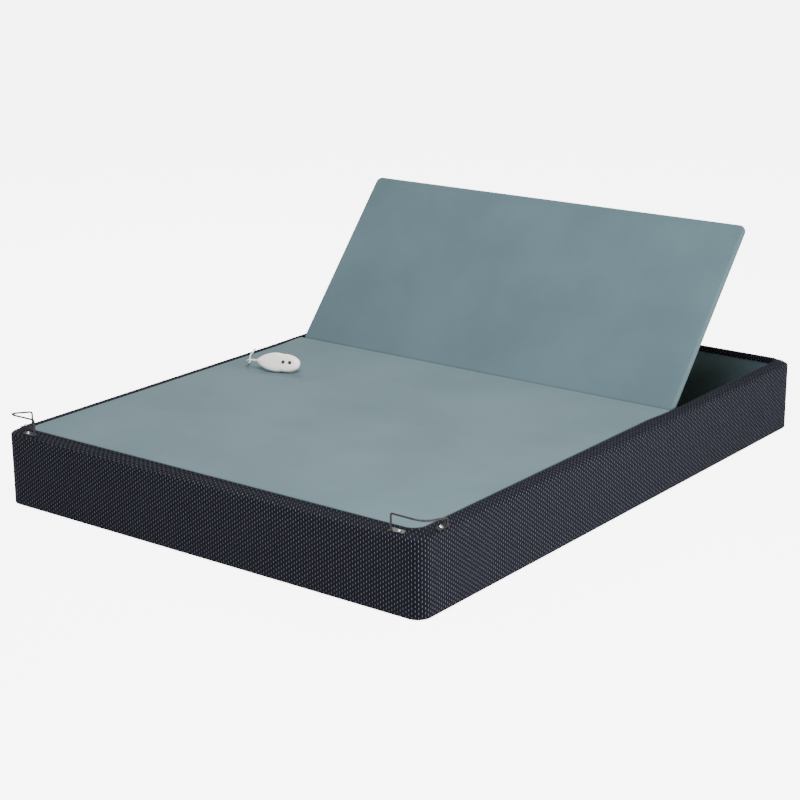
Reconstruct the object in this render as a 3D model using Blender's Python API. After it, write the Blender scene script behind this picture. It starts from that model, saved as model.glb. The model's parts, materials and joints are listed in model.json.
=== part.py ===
"""Adjustable bed base, queen size: an upholstered box whose head panel is lifted by a linear actuator.

Frame: metres, +Z up, origin on the floor under the centre of the base. +X is the right-hand side seen
from the foot end and +Y runs from foot to head. The head panel is built lying flat, under an empty on
its hinge axis that is turned to HEAD_ANGLE, so every piece that tips with it is its child.
"""

import math

import bmesh
import bpy
import numpy as np
from mathutils import Matrix, Vector

# ---------------------------------------------------------------- driving sizes
WIDTH = 1.524
LENGTH = 2.032
FOLD_HEIGHT = 0.220            # outer edge of the upholstered rim
DECK_TOP = 0.230               # sleeping surface, and inner edge of the rim
CORNER_RADIUS = 0.040          # upright corners of the upholstered box
HEM_HEIGHT = 0.003             # lower edge of the border above the floor
BORDER_THICKNESS = 0.006       # border cloth with its felt
FOLD_RADIUS = 0.008            # turn of the cloth over the top edge
RIM_WIDTH = 0.045              # flat top of the border around the fixed deck
BAY_RIM_WIDTH = 0.037          # the same around the head bay
RIM_CORNER_RADIUS = 0.042
BAY_CORNER_RADIUS = 0.030
FLARE_START = 0.150            # the rim narrows between these two places
FLARE_END = 0.270
TOUCH = 0.0003                 # gap between pieces that touch

RAIL_THICKNESS = 0.026
RAIL_BOTTOM = 0.012
RAIL_TOP = 0.213
JOIST_THICKNESS = 0.026
JOIST_DEPTH = 0.120
DECK_JOIST_Y = -0.600
ACTUATOR_JOIST_Y = -0.265
CORNER_BLOCK_SIZE = 0.085
CORNER_BLOCK_HEIGHT = 0.030
GLIDE_RADIUS = 0.022
GLIDE_INSET = 0.068            # from the outer faces to the glide's centre
DUST_COVER_THICKNESS = 0.002
LINER_THICKNESS = 0.002

PANEL_THICKNESS = 0.022        # board and padding together
BOARD_THICKNESS = 0.012
COVER_SKIRT = 0.007            # padding round the edge of a board
BOARD_END_INSET = 0.015        # board's end behind the cover's rounded end
DECK_EDGE_ROUND = 0.003
HEAD_EDGE_ROUND = 0.007
HEAD_SIDE_GAP = 0.0025         # head panel to rim
HEAD_END_GAP = 0.0057
HEAD_FAR_CORNER = 0.022
HEAD_NEAR_CORNER = 0.014

HINGE_Y = 0.314
HINGE_DROP = 0.003             # hinge axis below the head panel's underside
HEAD_ANGLE = math.radians(49.36)
DECK_NOSE_BACK = 0.0005        # the deck's rounded end, behind the head panel's at its highest turn
HEAD_NOSE_AHEAD = 0.012        # centre of the head panel's rounded end, ahead of it
BEAM_SIZE = 0.040
BEAM_WALL = 0.002
BEAM_FRONT = 0.0157            # front face of the hinge beam, behind the axis
HINGE_X = 0.500
HINGE_WIDTH = 0.060
KNUCKLE_RADIUS = 0.0065
HINGE_PIN_RADIUS = 0.0030
LEAF_THICKNESS = 0.003
LEAF_LENGTH = 0.060
BASE_LEAF_DROP = 0.034

HEAD_TUBE_SIZE = 0.025
HEAD_TUBE_WALL = 0.002
HEAD_TUBE_X = 0.420
HEAD_TUBE_START = 0.035        # from the hinge axis
HEAD_TUBE_END = 0.600
CROSS_TUBE_Y = 0.105           # from the hinge axis to its near face
LEVER_THICKNESS = 0.005
LEVER_REACH = 0.120            # hinge axis to the front pin
LEVER_ANGLE = math.radians(-95)  # direction of the front pin from the axis, head flat
LEVER_ROOT = (0.045, 0.165)    # where the lever meets the cross tube's underside
LEVER_NOSE_RADIUS = 0.021

REAR_PIN_Y = -0.200
REAR_PIN_Z = 0.075
SWING_RATIO = 0.0815           # actuator swing per turn of the head panel
STROKE_RATIO = 0.1078          # metres of stroke per radian of the head panel
HEAD_RANGE = (math.radians(0), math.radians(62))
PIN_RADIUS = 0.006
PIN_PLAY = 0.0004
EYE_HALF_WIDTH = 0.012
GEARBOX_HALF = (0.032, 0.030, 0.035)
GEARBOX_CENTRE = 0.050
MOTOR_RADIUS = 0.024
MOTOR_LENGTH = 0.115
TUBE_RADIUS = 0.020
TUBE_BORE = 0.016
TUBE_END = 0.455
GUIDE_LENGTH = 0.022
ROD_RADIUS = 0.0105
ROD_BORE = 0.0070
ROD_LENGTH = 0.260
ROD_BORE_DEPTH = 0.215
SCREW_RADIUS = 0.0055
SCREW_END = 0.420
SLIDE_PLAY = 0.0004

HANDSET_LENGTH = 0.152
HANDSET_WIDTH = 0.066
HANDSET_FRONT_DEPTH = 0.013
HANDSET_BACK_DEPTH = 0.017
HANDSET_WALL = 0.0022
HANDSET_CENTRE = (-0.5065, -0.0838)
HANDSET_HEADING = math.radians(17)
HANDSET_TILT = math.radians(60)   # its face is turned up on edge, towards the foot end
BUTTON_PLACES = (0.0225, 0.0455)
BUTTON_RADIUS = 0.0056
BUTTON_PLAY = 0.0004
BUTTON_PROUD = 0.0012
RELIEF_LENGTH = 0.022

CORD_DIAMETER = 0.005
COIL_COLUMNS = 4
COIL_MIDDLE_RADIUS = 0.0275
COIL_CENTRE = (-0.8300, 0.1975)
GROMMET_Y = 0.262
GROMMET_Z = 0.036
GROMMET_RADIUS = 0.011
GROMMET_BORE = 0.0030
RAIL_HOLE_RADIUS = 0.007

RETAINER_WIRE = 0.0056
RETAINER_CORNER = (0.0, 0.012)        # from the side and foot faces to where its straight runs would meet
RETAINER_FOOT_LEG = (0.108, 0.018)    # from the same faces to the foot leg
RETAINER_SHAPES = {                   # the side leg's insets, height over both legs, bend
    "right": (1, (0.014, 0.131), 0.044, 0.0180, 0.045),
    "left": (-1, (0.020, 0.091), 0.047, 0.0370, 0.040),
}
RETAINER_TAB = (0.045, 0.015, 0.002)  # length, width and thickness
RETAINER_SCREW_AT = 0.027
SCREW_HEAD_RADIUS = 0.0052
SCREW_HOLE_RADIUS = 0.0026

CONTROL_BOX_LOW = (0.150, -0.215)
CONTROL_BOX_SIZE = (0.180, 0.120, 0.046)

# ---------------------------------------------------------------- derived sizes
HALF_W = WIDTH / 2
HALF_L = LENGTH / 2
PANEL_BOTTOM = DECK_TOP - PANEL_THICKNESS
HINGE_Z = PANEL_BOTTOM - HINGE_DROP
NOSE_RADIUS = PANEL_THICKNESS / 2
RAIL_FACE = BORDER_THICKNESS + TOUCH            # outer face of the rails, from the outside
RAIL_INSIDE = RAIL_FACE + RAIL_THICKNESS        # their inner face
FLANGE_BOTTOM = RAIL_TOP + TOUCH
HEAD_HALF_WIDTH = HALF_W - BAY_RIM_WIDTH - HEAD_SIDE_GAP
HEAD_FAR = HALF_L - BAY_RIM_WIDTH - HEAD_END_GAP - HINGE_Y
HEAD_NEAR = HEAD_NOSE_AHEAD - NOSE_RADIUS
NOSE_HEIGHT = HINGE_DROP + NOSE_RADIUS          # centres of both rounded ends above the axis
RAISED_NOSE = complex(HEAD_NOSE_AHEAD, NOSE_HEIGHT) * complex(
    math.cos(HEAD_RANGE[1]), math.sin(HEAD_RANGE[1])
)
NOSE_APART = 2 * NOSE_RADIUS + DECK_NOSE_BACK   # between the two centres at that turn
NOSE_STEP_BACK = math.sqrt(NOSE_APART ** 2 - (RAISED_NOSE.imag - NOSE_HEIGHT) ** 2)
DECK_END = HINGE_Y + RAISED_NOSE.real - NOSE_STEP_BACK + NOSE_RADIUS
BEAM_FRONT_Y = HINGE_Y - BEAM_FRONT
FRAME_TOP = PANEL_BOTTOM - TOUCH                # top of what carries the boards


# ---------------------------------------------------------------- materials
def finish(name, colour, roughness, metallic=0.0):
    """A plain Principled material."""
    made = bpy.data.materials.new(name)
    made.use_nodes = True
    shader = made.node_tree.nodes["Principled BSDF"]
    shader.inputs["Base Color"].default_value = (*colour, 1.0)
    shader.inputs["Roughness"].default_value = roughness
    shader.inputs["Metallic"].default_value = metallic
    return made


def make_finishes():
    return {
        "navy": finish("navy_border_cloth", (0.022, 0.024, 0.045), 0.85),
        "sage": finish("sage_deck_cloth", (0.24, 0.32, 0.34), 0.90),
        "dust": finish("black_dust_cloth", (0.015, 0.015, 0.016), 0.95),
        "pine": finish("pine", (0.62, 0.44, 0.26), 0.65),
        "plywood": finish("plywood", (0.66, 0.50, 0.32), 0.60),
        "black_steel": finish("black_painted_steel", (0.012, 0.012, 0.013), 0.45),
        "zinc": finish("zinc_plated_steel", (0.62, 0.62, 0.60), 0.35, 1.0),
        "bright": finish("bright_steel", (0.75, 0.75, 0.74), 0.20, 1.0),
        "black_plastic": finish("black_plastic", (0.018, 0.018, 0.020), 0.50),
        "grey_plastic": finish("grey_plastic", (0.22, 0.22, 0.23), 0.55),
        "white_plastic": finish("white_plastic", (0.78, 0.76, 0.73), 0.35),
        "white_rubber": finish("white_cord", (0.72, 0.71, 0.69), 0.55),
        "rubber": finish("black_rubber", (0.02, 0.02, 0.02), 0.80),
    }


# ---------------------------------------------------------------- helpers
def clear_scene():
    for old in list(bpy.data.objects):
        bpy.data.objects.remove(old, do_unlink=True)


def empty(name, location, parent=None):
    made = bpy.data.objects.new(name, None)
    bpy.context.scene.collection.objects.link(made)
    made.parent = parent
    made.location = location
    return made


def solid(name, points, faces, material, parent=None, smooth=False):
    """An object from points and faces, with coincident points merged and the faces turned outwards."""
    mesh = bpy.data.meshes.new(name)
    mesh.from_pydata([tuple(point) for point in points], [], faces)
    work = bmesh.new()
    work.from_mesh(mesh)
    bmesh.ops.remove_doubles(work, verts=work.verts, dist=1e-6)
    bmesh.ops.recalc_face_normals(work, faces=work.faces)
    work.to_mesh(mesh)
    work.free()
    if smooth:
        mesh.shade_smooth()
        mesh.set_sharp_from_angle(angle=math.radians(40))
    mesh.materials.append(material)
    made = bpy.data.objects.new(name, mesh)
    bpy.context.scene.collection.objects.link(made)
    made.parent = parent
    return made


def loft(name, rings, material, parent=None, smooth=False, wrap=False):
    """A skin through rings of equally many points, with flat ends, or closed on itself when wrapped."""
    rings = np.asarray(rings, float)
    count, around = rings.shape[:2]
    index = np.arange(count * around).reshape(count, around)
    faces = []
    for i in range(count if wrap else count - 1):
        here = index[i]
        there = index[(i + 1) % count]
        for j in range(around):
            k = (j + 1) % around
            faces.append((here[j], here[k], there[k], there[j]))
    if not wrap:
        faces += [tuple(index[0]), tuple(index[-1])]
    return solid(name, rings.reshape(-1, 3), faces, material, parent, smooth)


def box(name, low, high, material, parent=None, bevel=0.0):
    (x0, y0, z0), (x1, y1, z1) = low, high
    plan = [(x0, y0), (x1, y0), (x1, y1), (x0, y1)]
    made = prism(name, plan, "Z", z0, z1, material, parent)
    if bevel:
        round_edges(made, bevel)
    return made


def prism(name, outline, axis, low, high, material, parent=None, smooth=False):
    """An outline pushed along an axis: (x, y) pairs along Z, or (y, z) pairs along X."""
    def place(pair, height):
        return (*pair, height) if axis == "Z" else (height, *pair)

    rings = [[place(pair, height) for pair in outline] for height in (low, high)]
    return loft(name, rings, material, parent, smooth)


def turned(name, profile, material, parent=None, segments=24):
    """A closed profile of (radius, height) pairs turned about Z."""
    angles = np.linspace(0, 2 * math.pi, segments, endpoint=False)
    rings = [[(r * math.cos(a), r * math.sin(a), h) for r, h in profile] for a in angles]
    return loft(name, rings, material, parent, smooth=True, wrap=True)


def pin(name, radius, length, material, parent=None, head=0.0, head_depth=0.0, segments=20):
    """A round pin along Z from 0 to length, with a wider head below 0."""
    profile = [(0, -head_depth), (head or radius, -head_depth), (head or radius, 0)]
    profile += [(radius, 0), (radius, length), (0, length)]
    return turned(name, profile, material, parent, segments)


def round_edges(obj, width, segments=1):
    bevel = obj.modifiers.new("rounded_edges", "BEVEL")
    bevel.width = width
    bevel.segments = segments
    bevel.limit_method = "ANGLE"


def hide(helper):
    helper.hide_render = True
    helper.display_type = "WIRE"


def cut(obj, cutter):
    change = obj.modifiers.new("cut_" + cutter.name, "BOOLEAN")
    change.operation = "DIFFERENCE"
    change.object = cutter
    hide(cutter)


def merge(obj, other):
    change = obj.modifiers.new("join_" + other.name, "BOOLEAN")
    change.operation = "UNION"
    change.object = other
    hide(other)


def arc(centre, radius, start, end, steps):
    angles = np.radians(np.linspace(start, end, steps))
    return [(centre[0] + radius * math.cos(a), centre[1] + radius * math.sin(a)) for a in angles]


def along_x(obj):
    obj.rotation_euler = (0, math.radians(90), 0)


def along_y(obj):
    obj.rotation_euler = (math.radians(-90), 0, 0)


def square_tube(name, axis, start, end, centre, size, wall, material, parent=None):
    """A square tube along X or Y, open at both ends."""
    half = size / 2
    inner = half - wall
    corners = ((-1, -1), (1, -1), (1, 1), (-1, 1))
    rings = []
    for reach, place in ((half, start), (half, end), (inner, end), (inner, start)):
        ring = []
        for across, up in corners:
            side = centre[0] + across * reach
            height = centre[1] + up * reach
            ring.append((place, side, height) if axis == "X" else (side, place, height))
        rings.append(ring)
    return loft(name, rings, material, parent, wrap=True)


# ---------------------------------------------------------------- upholstered border
def rim_width(y):
    """Width of the flat rim beside the deck: it narrows smoothly towards the head bay."""
    t = min(max((y - FLARE_START) / (FLARE_END - FLARE_START), 0.0), 1.0)
    return RIM_WIDTH + (BAY_RIM_WIDTH - RIM_WIDTH) * t * t * (3 - 2 * t)


def corner_arc(side_x, side_y, inset, radius, start, end, steps=6):
    centre = (side_x * (HALF_W - inset - radius), side_y * (HALF_L - inset - radius))
    return arc(centre, radius, start, end, steps)


def corner_stations(side_x, side_y, start, end):
    """Outer, wall and rim points of the border round one upright corner."""
    rim, rim_corner = (
        (RIM_WIDTH, RIM_CORNER_RADIUS) if side_y < 0 else (BAY_RIM_WIDTH, BAY_CORNER_RADIUS)
    )
    return list(zip(
        corner_arc(side_x, side_y, 0, CORNER_RADIUS, start, end),
        corner_arc(side_x, side_y, BORDER_THICKNESS, RAIL_THICKNESS, start, end),
        corner_arc(side_x, side_y, rim, rim_corner, start, end),
    ))


def side_stations(side_x):
    stations = []
    for y in np.linspace(FLARE_START, FLARE_END, 5):
        places = (HALF_W, HALF_W - BORDER_THICKNESS, HALF_W - rim_width(y))
        stations.append([(side_x * x, y) for x in places])
    return stations


def border_section(outer, wall, rim):
    """Cut through the border: up the side, over the fold, along the rim and back under it."""
    outer, wall, rim = (Vector(point) for point in (outer, wall, rim))
    inward = (rim - outer).normalized()
    reach = (rim - outer).length
    edge = DECK_TOP - FOLD_HEIGHT
    section = [(*outer, HEM_HEIGHT)]
    for turn in np.radians(np.linspace(0, 75, 4)):
        place = outer + inward * FOLD_RADIUS * (1 - math.cos(turn))
        section.append((*place, FOLD_HEIGHT - FOLD_RADIUS * (1 - math.sin(turn))))
    for share in (0.45, 0.92):
        lift = edge * math.sin(share * math.pi / 2)
        section.append((*(outer + inward * reach * share), FOLD_HEIGHT + lift))
    section.append((*rim, DECK_TOP - 0.0015))
    section += [(*rim, FLANGE_BOTTOM), (*wall, FLANGE_BOTTOM), (*wall, HEM_HEIGHT)]
    return section


def make_border(finishes):
    seam = math.degrees(TOUCH / (2 * RAIL_THICKNESS)) + 0.05
    strips = {
        "border_foot": corner_stations(-1, -1, 225 + seam, 270)
        + corner_stations(1, -1, 270, 315 - seam),
        "border_right": corner_stations(1, -1, 315 + seam, 360) + side_stations(1)
        + corner_stations(1, 1, 0, 45 - seam),
        "border_head": corner_stations(1, 1, 45 + seam, 90)
        + corner_stations(-1, 1, 90, 135 - seam),
        "border_left": corner_stations(-1, 1, 135 + seam, 180) + side_stations(-1)[::-1]
        + corner_stations(-1, -1, 180, 225 - seam),
    }
    made = {}
    for name, stations in strips.items():
        rings = [border_section(*station) for station in stations]
        made[name] = loft(name, rings, finishes["navy"], smooth=True)
    return made


# ---------------------------------------------------------------- box under the cloth
def make_rails(finishes):
    """Side rails run the whole length, with their outer corners rounded; end rails fit between them."""
    inner = HALF_W - RAIL_INSIDE
    rails = {}
    for name, side in (("side_rail_left", -1), ("side_rail_right", 1)):
        foot = corner_arc(1, -1, RAIL_FACE, RAIL_THICKNESS - TOUCH, 270, 360)
        head = corner_arc(1, 1, RAIL_FACE, RAIL_THICKNESS - TOUCH, 0, 90)
        plan = [(inner, -HALF_L + RAIL_FACE), *foot, *head, (inner, HALF_L - RAIL_FACE)]
        plan = [(side * x, y) for x, y in plan]
        rails[name] = prism(name, plan, "Z", RAIL_BOTTOM, RAIL_TOP, finishes["pine"])
    for name, side in (("foot_rail", -1), ("head_rail", 1)):
        ends = sorted((side * (HALF_L - RAIL_FACE), side * (HALF_L - RAIL_INSIDE)))
        low = (-inner + TOUCH, ends[0], RAIL_BOTTOM)
        high = (inner - TOUCH, ends[1], RAIL_TOP)
        rails[name] = box(name, low, high, finishes["pine"])
    span = inner - TOUCH
    for name, y in (("deck_joist", DECK_JOIST_Y), ("actuator_joist", ACTUATOR_JOIST_Y)):
        low = (-span, y, FRAME_TOP - JOIST_DEPTH)
        high = (span, y + JOIST_THICKNESS, FRAME_TOP)
        rails[name] = box(name, low, high, finishes["pine"], bevel=0.0015)
    rails["hinge_beam"] = square_tube(
        "hinge_beam", "X", -span, span, (BEAM_FRONT_Y - BEAM_SIZE / 2, FRAME_TOP - BEAM_SIZE / 2),
        BEAM_SIZE, BEAM_WALL, finishes["black_steel"],
    )
    return rails


def make_feet(finishes):
    """A wooden block in each bottom corner, with a glide under it."""
    near = RAIL_INSIDE + TOUCH
    far = near + CORNER_BLOCK_SIZE
    top = RAIL_BOTTOM + CORNER_BLOCK_HEIGHT
    glide = [(0, 0), (GLIDE_RADIUS - 0.002, 0), (GLIDE_RADIUS, 0.002)]
    glide += [(GLIDE_RADIUS, RAIL_BOTTOM - TOUCH), (0, RAIL_BOTTOM - TOUCH)]
    places = {}
    for end, side_y in (("foot", -1), ("head", 1)):
        for side, side_x in (("left", -1), ("right", 1)):
            plan = [(near, near), (far, near), (far, near + 0.03), (near + 0.03, far), (near, far)]
            plan = [(side_x * (HALF_W - a), side_y * (HALF_L - b)) for a, b in plan]
            name = f"corner_block_{end}_{side}"
            prism(name, plan, "Z", RAIL_BOTTOM, top, finishes["pine"])
            foot = turned(f"floor_glide_{end}_{side}", glide, finishes["black_plastic"])
            foot.location = (side_x * (HALF_W - GLIDE_INSET), side_y * (HALF_L - GLIDE_INSET), 0)
            places[name] = foot.location.copy()
    return places


def make_dust_cover(finishes, glides):
    """Thin cloth under the box, with a hole round each glide."""
    inset = BORDER_THICKNESS + TOUCH
    plan = []
    for side_x, side_y, start in ((1, -1, 270), (1, 1, 0), (-1, 1, 90), (-1, -1, 180)):
        plan += corner_arc(side_x, side_y, inset, RAIL_THICKNESS, start, start + 90)
    top = RAIL_BOTTOM - TOUCH
    cover = prism("dust_cover", plan, "Z", top - DUST_COVER_THICKNESS, top, finishes["dust"])
    for name, place in glides.items():
        hole = pin("hole_" + name, GLIDE_RADIUS + 0.001, 2 * RAIL_BOTTOM, finishes["dust"])
        hole.location = (place.x, place.y, -RAIL_BOTTOM / 2)
        cut(cover, hole)


def make_bay_liner(finishes):
    """Sage cloth lining the three walls of the head bay."""
    near = RAIL_INSIDE + TOUCH
    start = BEAM_FRONT_Y + TOUCH
    outline = []
    for inset, radius in ((near, 0.030), (near + LINER_THICKNESS, 0.028)):
        path = [(HALF_W - inset, start)]
        path += corner_arc(1, 1, inset, radius, 0, 90)
        path += corner_arc(-1, 1, inset, radius, 90, 180)
        path.append((inset - HALF_W, start))
        outline.append(path)
    plan = outline[0] + outline[1][::-1]
    low = RAIL_BOTTOM + CORNER_BLOCK_HEIGHT + TOUCH
    prism("bay_liner", plan, "Z", low, RAIL_TOP - TOUCH, finishes["sage"])


# ---------------------------------------------------------------- deck and head panel
def deck_outline(side_inset, end_inset):
    """Plan of the fixed deck inside the rim, drawn in by the two insets."""
    side_inset += TOUCH
    right = corner_arc(
        1, -1, RIM_WIDTH + side_inset, RIM_CORNER_RADIUS - side_inset, 270, 360, 8
    )
    for y in np.linspace(FLARE_START, FLARE_END, 5):
        right.append((HALF_W - rim_width(y) - side_inset, y))
    right.append((HALF_W - BAY_RIM_WIDTH - side_inset, DECK_END - end_inset))
    return right + [(-x, y) for x, y in reversed(right)]


def head_outline(side_inset, end_inset):
    """Plan of the head panel from the hinge axis, drawn in by the insets at its sides and near end."""
    x = HEAD_HALF_WIDTH - side_inset
    near = HEAD_NEAR + end_inset
    far = HEAD_FAR - side_inset
    small = HEAD_NEAR_CORNER - side_inset
    large = HEAD_FAR_CORNER - side_inset
    right = arc((x - small, near + small), small, -90, 0, 5)
    right += arc((x - large, far - large), large, 0, 90, 6)
    return right + [(-a, b) for a, b in reversed(right)]


def padded_panel(name, board_name, outline, edge_round, base, finishes, parent):
    """A board in a padded cover: the cover's end is fully rounded, its sides by edge_round."""
    rings = []
    for turn in np.radians(np.linspace(-90, 90, 9)):
        drawn_in = 1 - math.cos(turn)
        height = base + NOSE_RADIUS * (1 + math.sin(turn))
        plan = outline(edge_round * drawn_in, NOSE_RADIUS * drawn_in)
        rings.append([(x, y, height) for x, y in plan])
    cover = loft(name, rings, finishes["sage"], parent, smooth=True)
    top = base + BOARD_THICKNESS
    pocket_plan = outline(COVER_SKIRT, BOARD_END_INSET)
    cut(cover, prism(
        board_name + "_pocket", pocket_plan, "Z", base - 0.01, top + TOUCH, finishes["sage"], parent
    ))
    board_plan = outline(COVER_SKIRT + TOUCH, BOARD_END_INSET + TOUCH)
    prism(board_name, board_plan, "Z", base, top, finishes["plywood"], parent)


def make_deck(finishes):
    padded_panel(
        "deck_pad", "deck_board", deck_outline, DECK_EDGE_ROUND, PANEL_BOTTOM, finishes, None
    )


def make_head_panel(finishes, pivot):
    padded_panel(
        "head_pad", "head_board", head_outline, HEAD_EDGE_ROUND, PANEL_BOTTOM - HINGE_Z,
        finishes, pivot,
    )
    top = FRAME_TOP - HINGE_Z
    middle = top - HEAD_TUBE_SIZE / 2
    for name, side in (("head_tube_left", -1), ("head_tube_right", 1)):
        square_tube(
            name, "Y", HEAD_TUBE_START, HEAD_TUBE_END, (side * HEAD_TUBE_X, middle),
            HEAD_TUBE_SIZE, HEAD_TUBE_WALL, finishes["black_steel"], pivot,
        )
    span = HEAD_TUBE_X - HEAD_TUBE_SIZE / 2 - TOUCH
    square_tube(
        "head_cross_tube", "X", -span, span, (CROSS_TUBE_Y + HEAD_TUBE_SIZE / 2, middle),
        HEAD_TUBE_SIZE, HEAD_TUBE_WALL, finishes["black_steel"], pivot,
    )


# ---------------------------------------------------------------- hinges
def knuckle(name, low, high, material, parent):
    """One barrel of a hinge about its own X axis."""
    profile = [(HINGE_PIN_RADIUS + TOUCH, low), (KNUCKLE_RADIUS, low)]
    profile += [(KNUCKLE_RADIUS, high), (HINGE_PIN_RADIUS + TOUCH, high)]
    made = turned(name, profile, material, parent, 20)
    along_x(made)
    return made


def make_hinge(side_name, x, finishes, pivot):
    """Two leaves on one pin: the base leaf on the beam has the outer knuckles, the head leaf the middle."""
    half = HINGE_WIDTH / 2
    third = half / 3
    front = -BEAM_FRONT + TOUCH
    axis = empty("hinge_axis_" + side_name, (x, HINGE_Y, HINGE_Z))
    steel = finishes["black_steel"]
    leaf = box(
        "hinge_base_leaf_" + side_name, (-half, front, -BASE_LEAF_DROP),
        (half, front + LEAF_THICKNESS, -0.0035), steel, axis,
    )
    for label, low, high in (("outer", -half, -third), ("inner", third, half)):
        barrel = knuckle(f"barrel_{label}_{side_name}", low, high, steel, axis)
        arm = box(
            f"arm_{label}_{side_name}", (low, front + 0.001, -KNUCKLE_RADIUS),
            (high, -HINGE_PIN_RADIUS - 0.0012, -0.0030), steel, axis,
        )
        merge(leaf, arm)
        merge(leaf, barrel)
    turning = empty("hinge_turning_" + side_name, (x, 0, 0), pivot)
    top = FRAME_TOP - HINGE_Z
    head_leaf = box(
        "hinge_head_leaf_" + side_name, (-half, HEAD_NOSE_AHEAD, top - LEAF_THICKNESS),
        (half, HEAD_NOSE_AHEAD + LEAF_LENGTH, top), steel, turning,
    )
    reach = third - TOUCH
    merge(head_leaf, box(
        "head_arm_" + side_name, (-reach, HINGE_PIN_RADIUS + 0.0012, top - LEAF_THICKNESS),
        (reach, HEAD_NOSE_AHEAD + 0.002, top - 0.0004), steel, turning,
    ))
    merge(head_leaf, knuckle("head_barrel_" + side_name, -reach, reach, steel, turning))
    hinge_pin = pin(
        "hinge_pin_" + side_name, HINGE_PIN_RADIUS, HINGE_WIDTH + 0.003, finishes["zinc"], axis,
        head=0.005, head_depth=0.0015, segments=16,
    )
    along_x(hinge_pin)
    hinge_pin.location = (-half - TOUCH, 0, 0)


# ---------------------------------------------------------------- lifting drive
def rear_pin_place():
    return complex(REAR_PIN_Y, REAR_PIN_Z)


def front_pin_place(head):
    """Front pin hole of the lever, as y + z i, with the panel at this angle."""
    turn = LEVER_ANGLE + head
    return complex(HINGE_Y, HINGE_Z) + LEVER_REACH * complex(math.cos(turn), math.sin(turn))


def rod_pin_place(head):
    """Pin of the rod with the panel at this angle: swing and stroke both follow it in proportion."""
    at_rest = front_pin_place(HEAD_ANGLE) - rear_pin_place()
    change = head - HEAD_ANGLE
    length = abs(at_rest) + STROKE_RATIO * change
    direction = math.atan2(at_rest.imag, at_rest.real) + SWING_RATIO * change
    return rear_pin_place() + length * complex(math.cos(direction), math.sin(direction))


def slot_path():
    """The rod pin's path seen from the flat head panel, hinge axis at zero."""
    path = []
    for head in np.linspace(HEAD_RANGE[0], HEAD_RANGE[1], 9):
        seen = (rod_pin_place(head) - complex(HINGE_Y, HINGE_Z)) * complex(
            math.cos(-head), math.sin(-head)
        )
        path.append(Vector((seen.real, seen.imag)))
    return path


def slot_outline(path, radius):
    """Outline of a round cutter moved along the path: the hull of its two ends and its middle."""
    points = []
    for centre in path:
        points += arc(centre, radius, 0, 330, 12)
    points = sorted(set((round(a, 7), round(b, 7)) for a, b in points))

    def half_hull(ordered):
        hull = []
        for point in ordered:
            while len(hull) > 1:
                (ax, ay), (bx, by) = hull[-2:]
                turn = (bx - ax) * (point[1] - ay) - (by - ay) * (point[0] - ax)
                if turn > 0:
                    break
                hull.pop()
            hull.append(point)
        return hull[:-1]

    return half_hull(points) + half_hull(points[::-1])


def make_levers(finishes, pivot):
    """Two plates under the cross tube, with a slot that the front pin runs in."""
    top = FRAME_TOP - HINGE_Z - HEAD_TUBE_SIZE - TOUCH
    hub = LEVER_REACH * Vector((math.cos(LEVER_ANGLE), math.sin(LEVER_ANGLE)))
    path = slot_path()
    nose = arc(hub, LEVER_NOSE_RADIUS, 140, 320, 9)
    outline = [(LEVER_ROOT[0], top), (0.035, top - 0.022), *nose]
    outline += [(LEVER_ROOT[1] - 0.020, top - 0.022), (LEVER_ROOT[1], top)]
    hole = slot_outline(path, PIN_RADIUS + PIN_PLAY)
    for name, side in (("lift_lever_left", -1), ("lift_lever_right", 1)):
        near = side * (EYE_HALF_WIDTH + 0.002)
        faces = sorted((near, near + side * LEVER_THICKNESS))
        plate = prism(name, outline, "X", *faces, finishes["black_steel"], pivot)
        cutter = prism(
            name + "_slot", hole, "X", faces[0] - 0.005, faces[1] + 0.005,
            finishes["black_steel"], pivot,
        )
        cut(plate, cutter)


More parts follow.
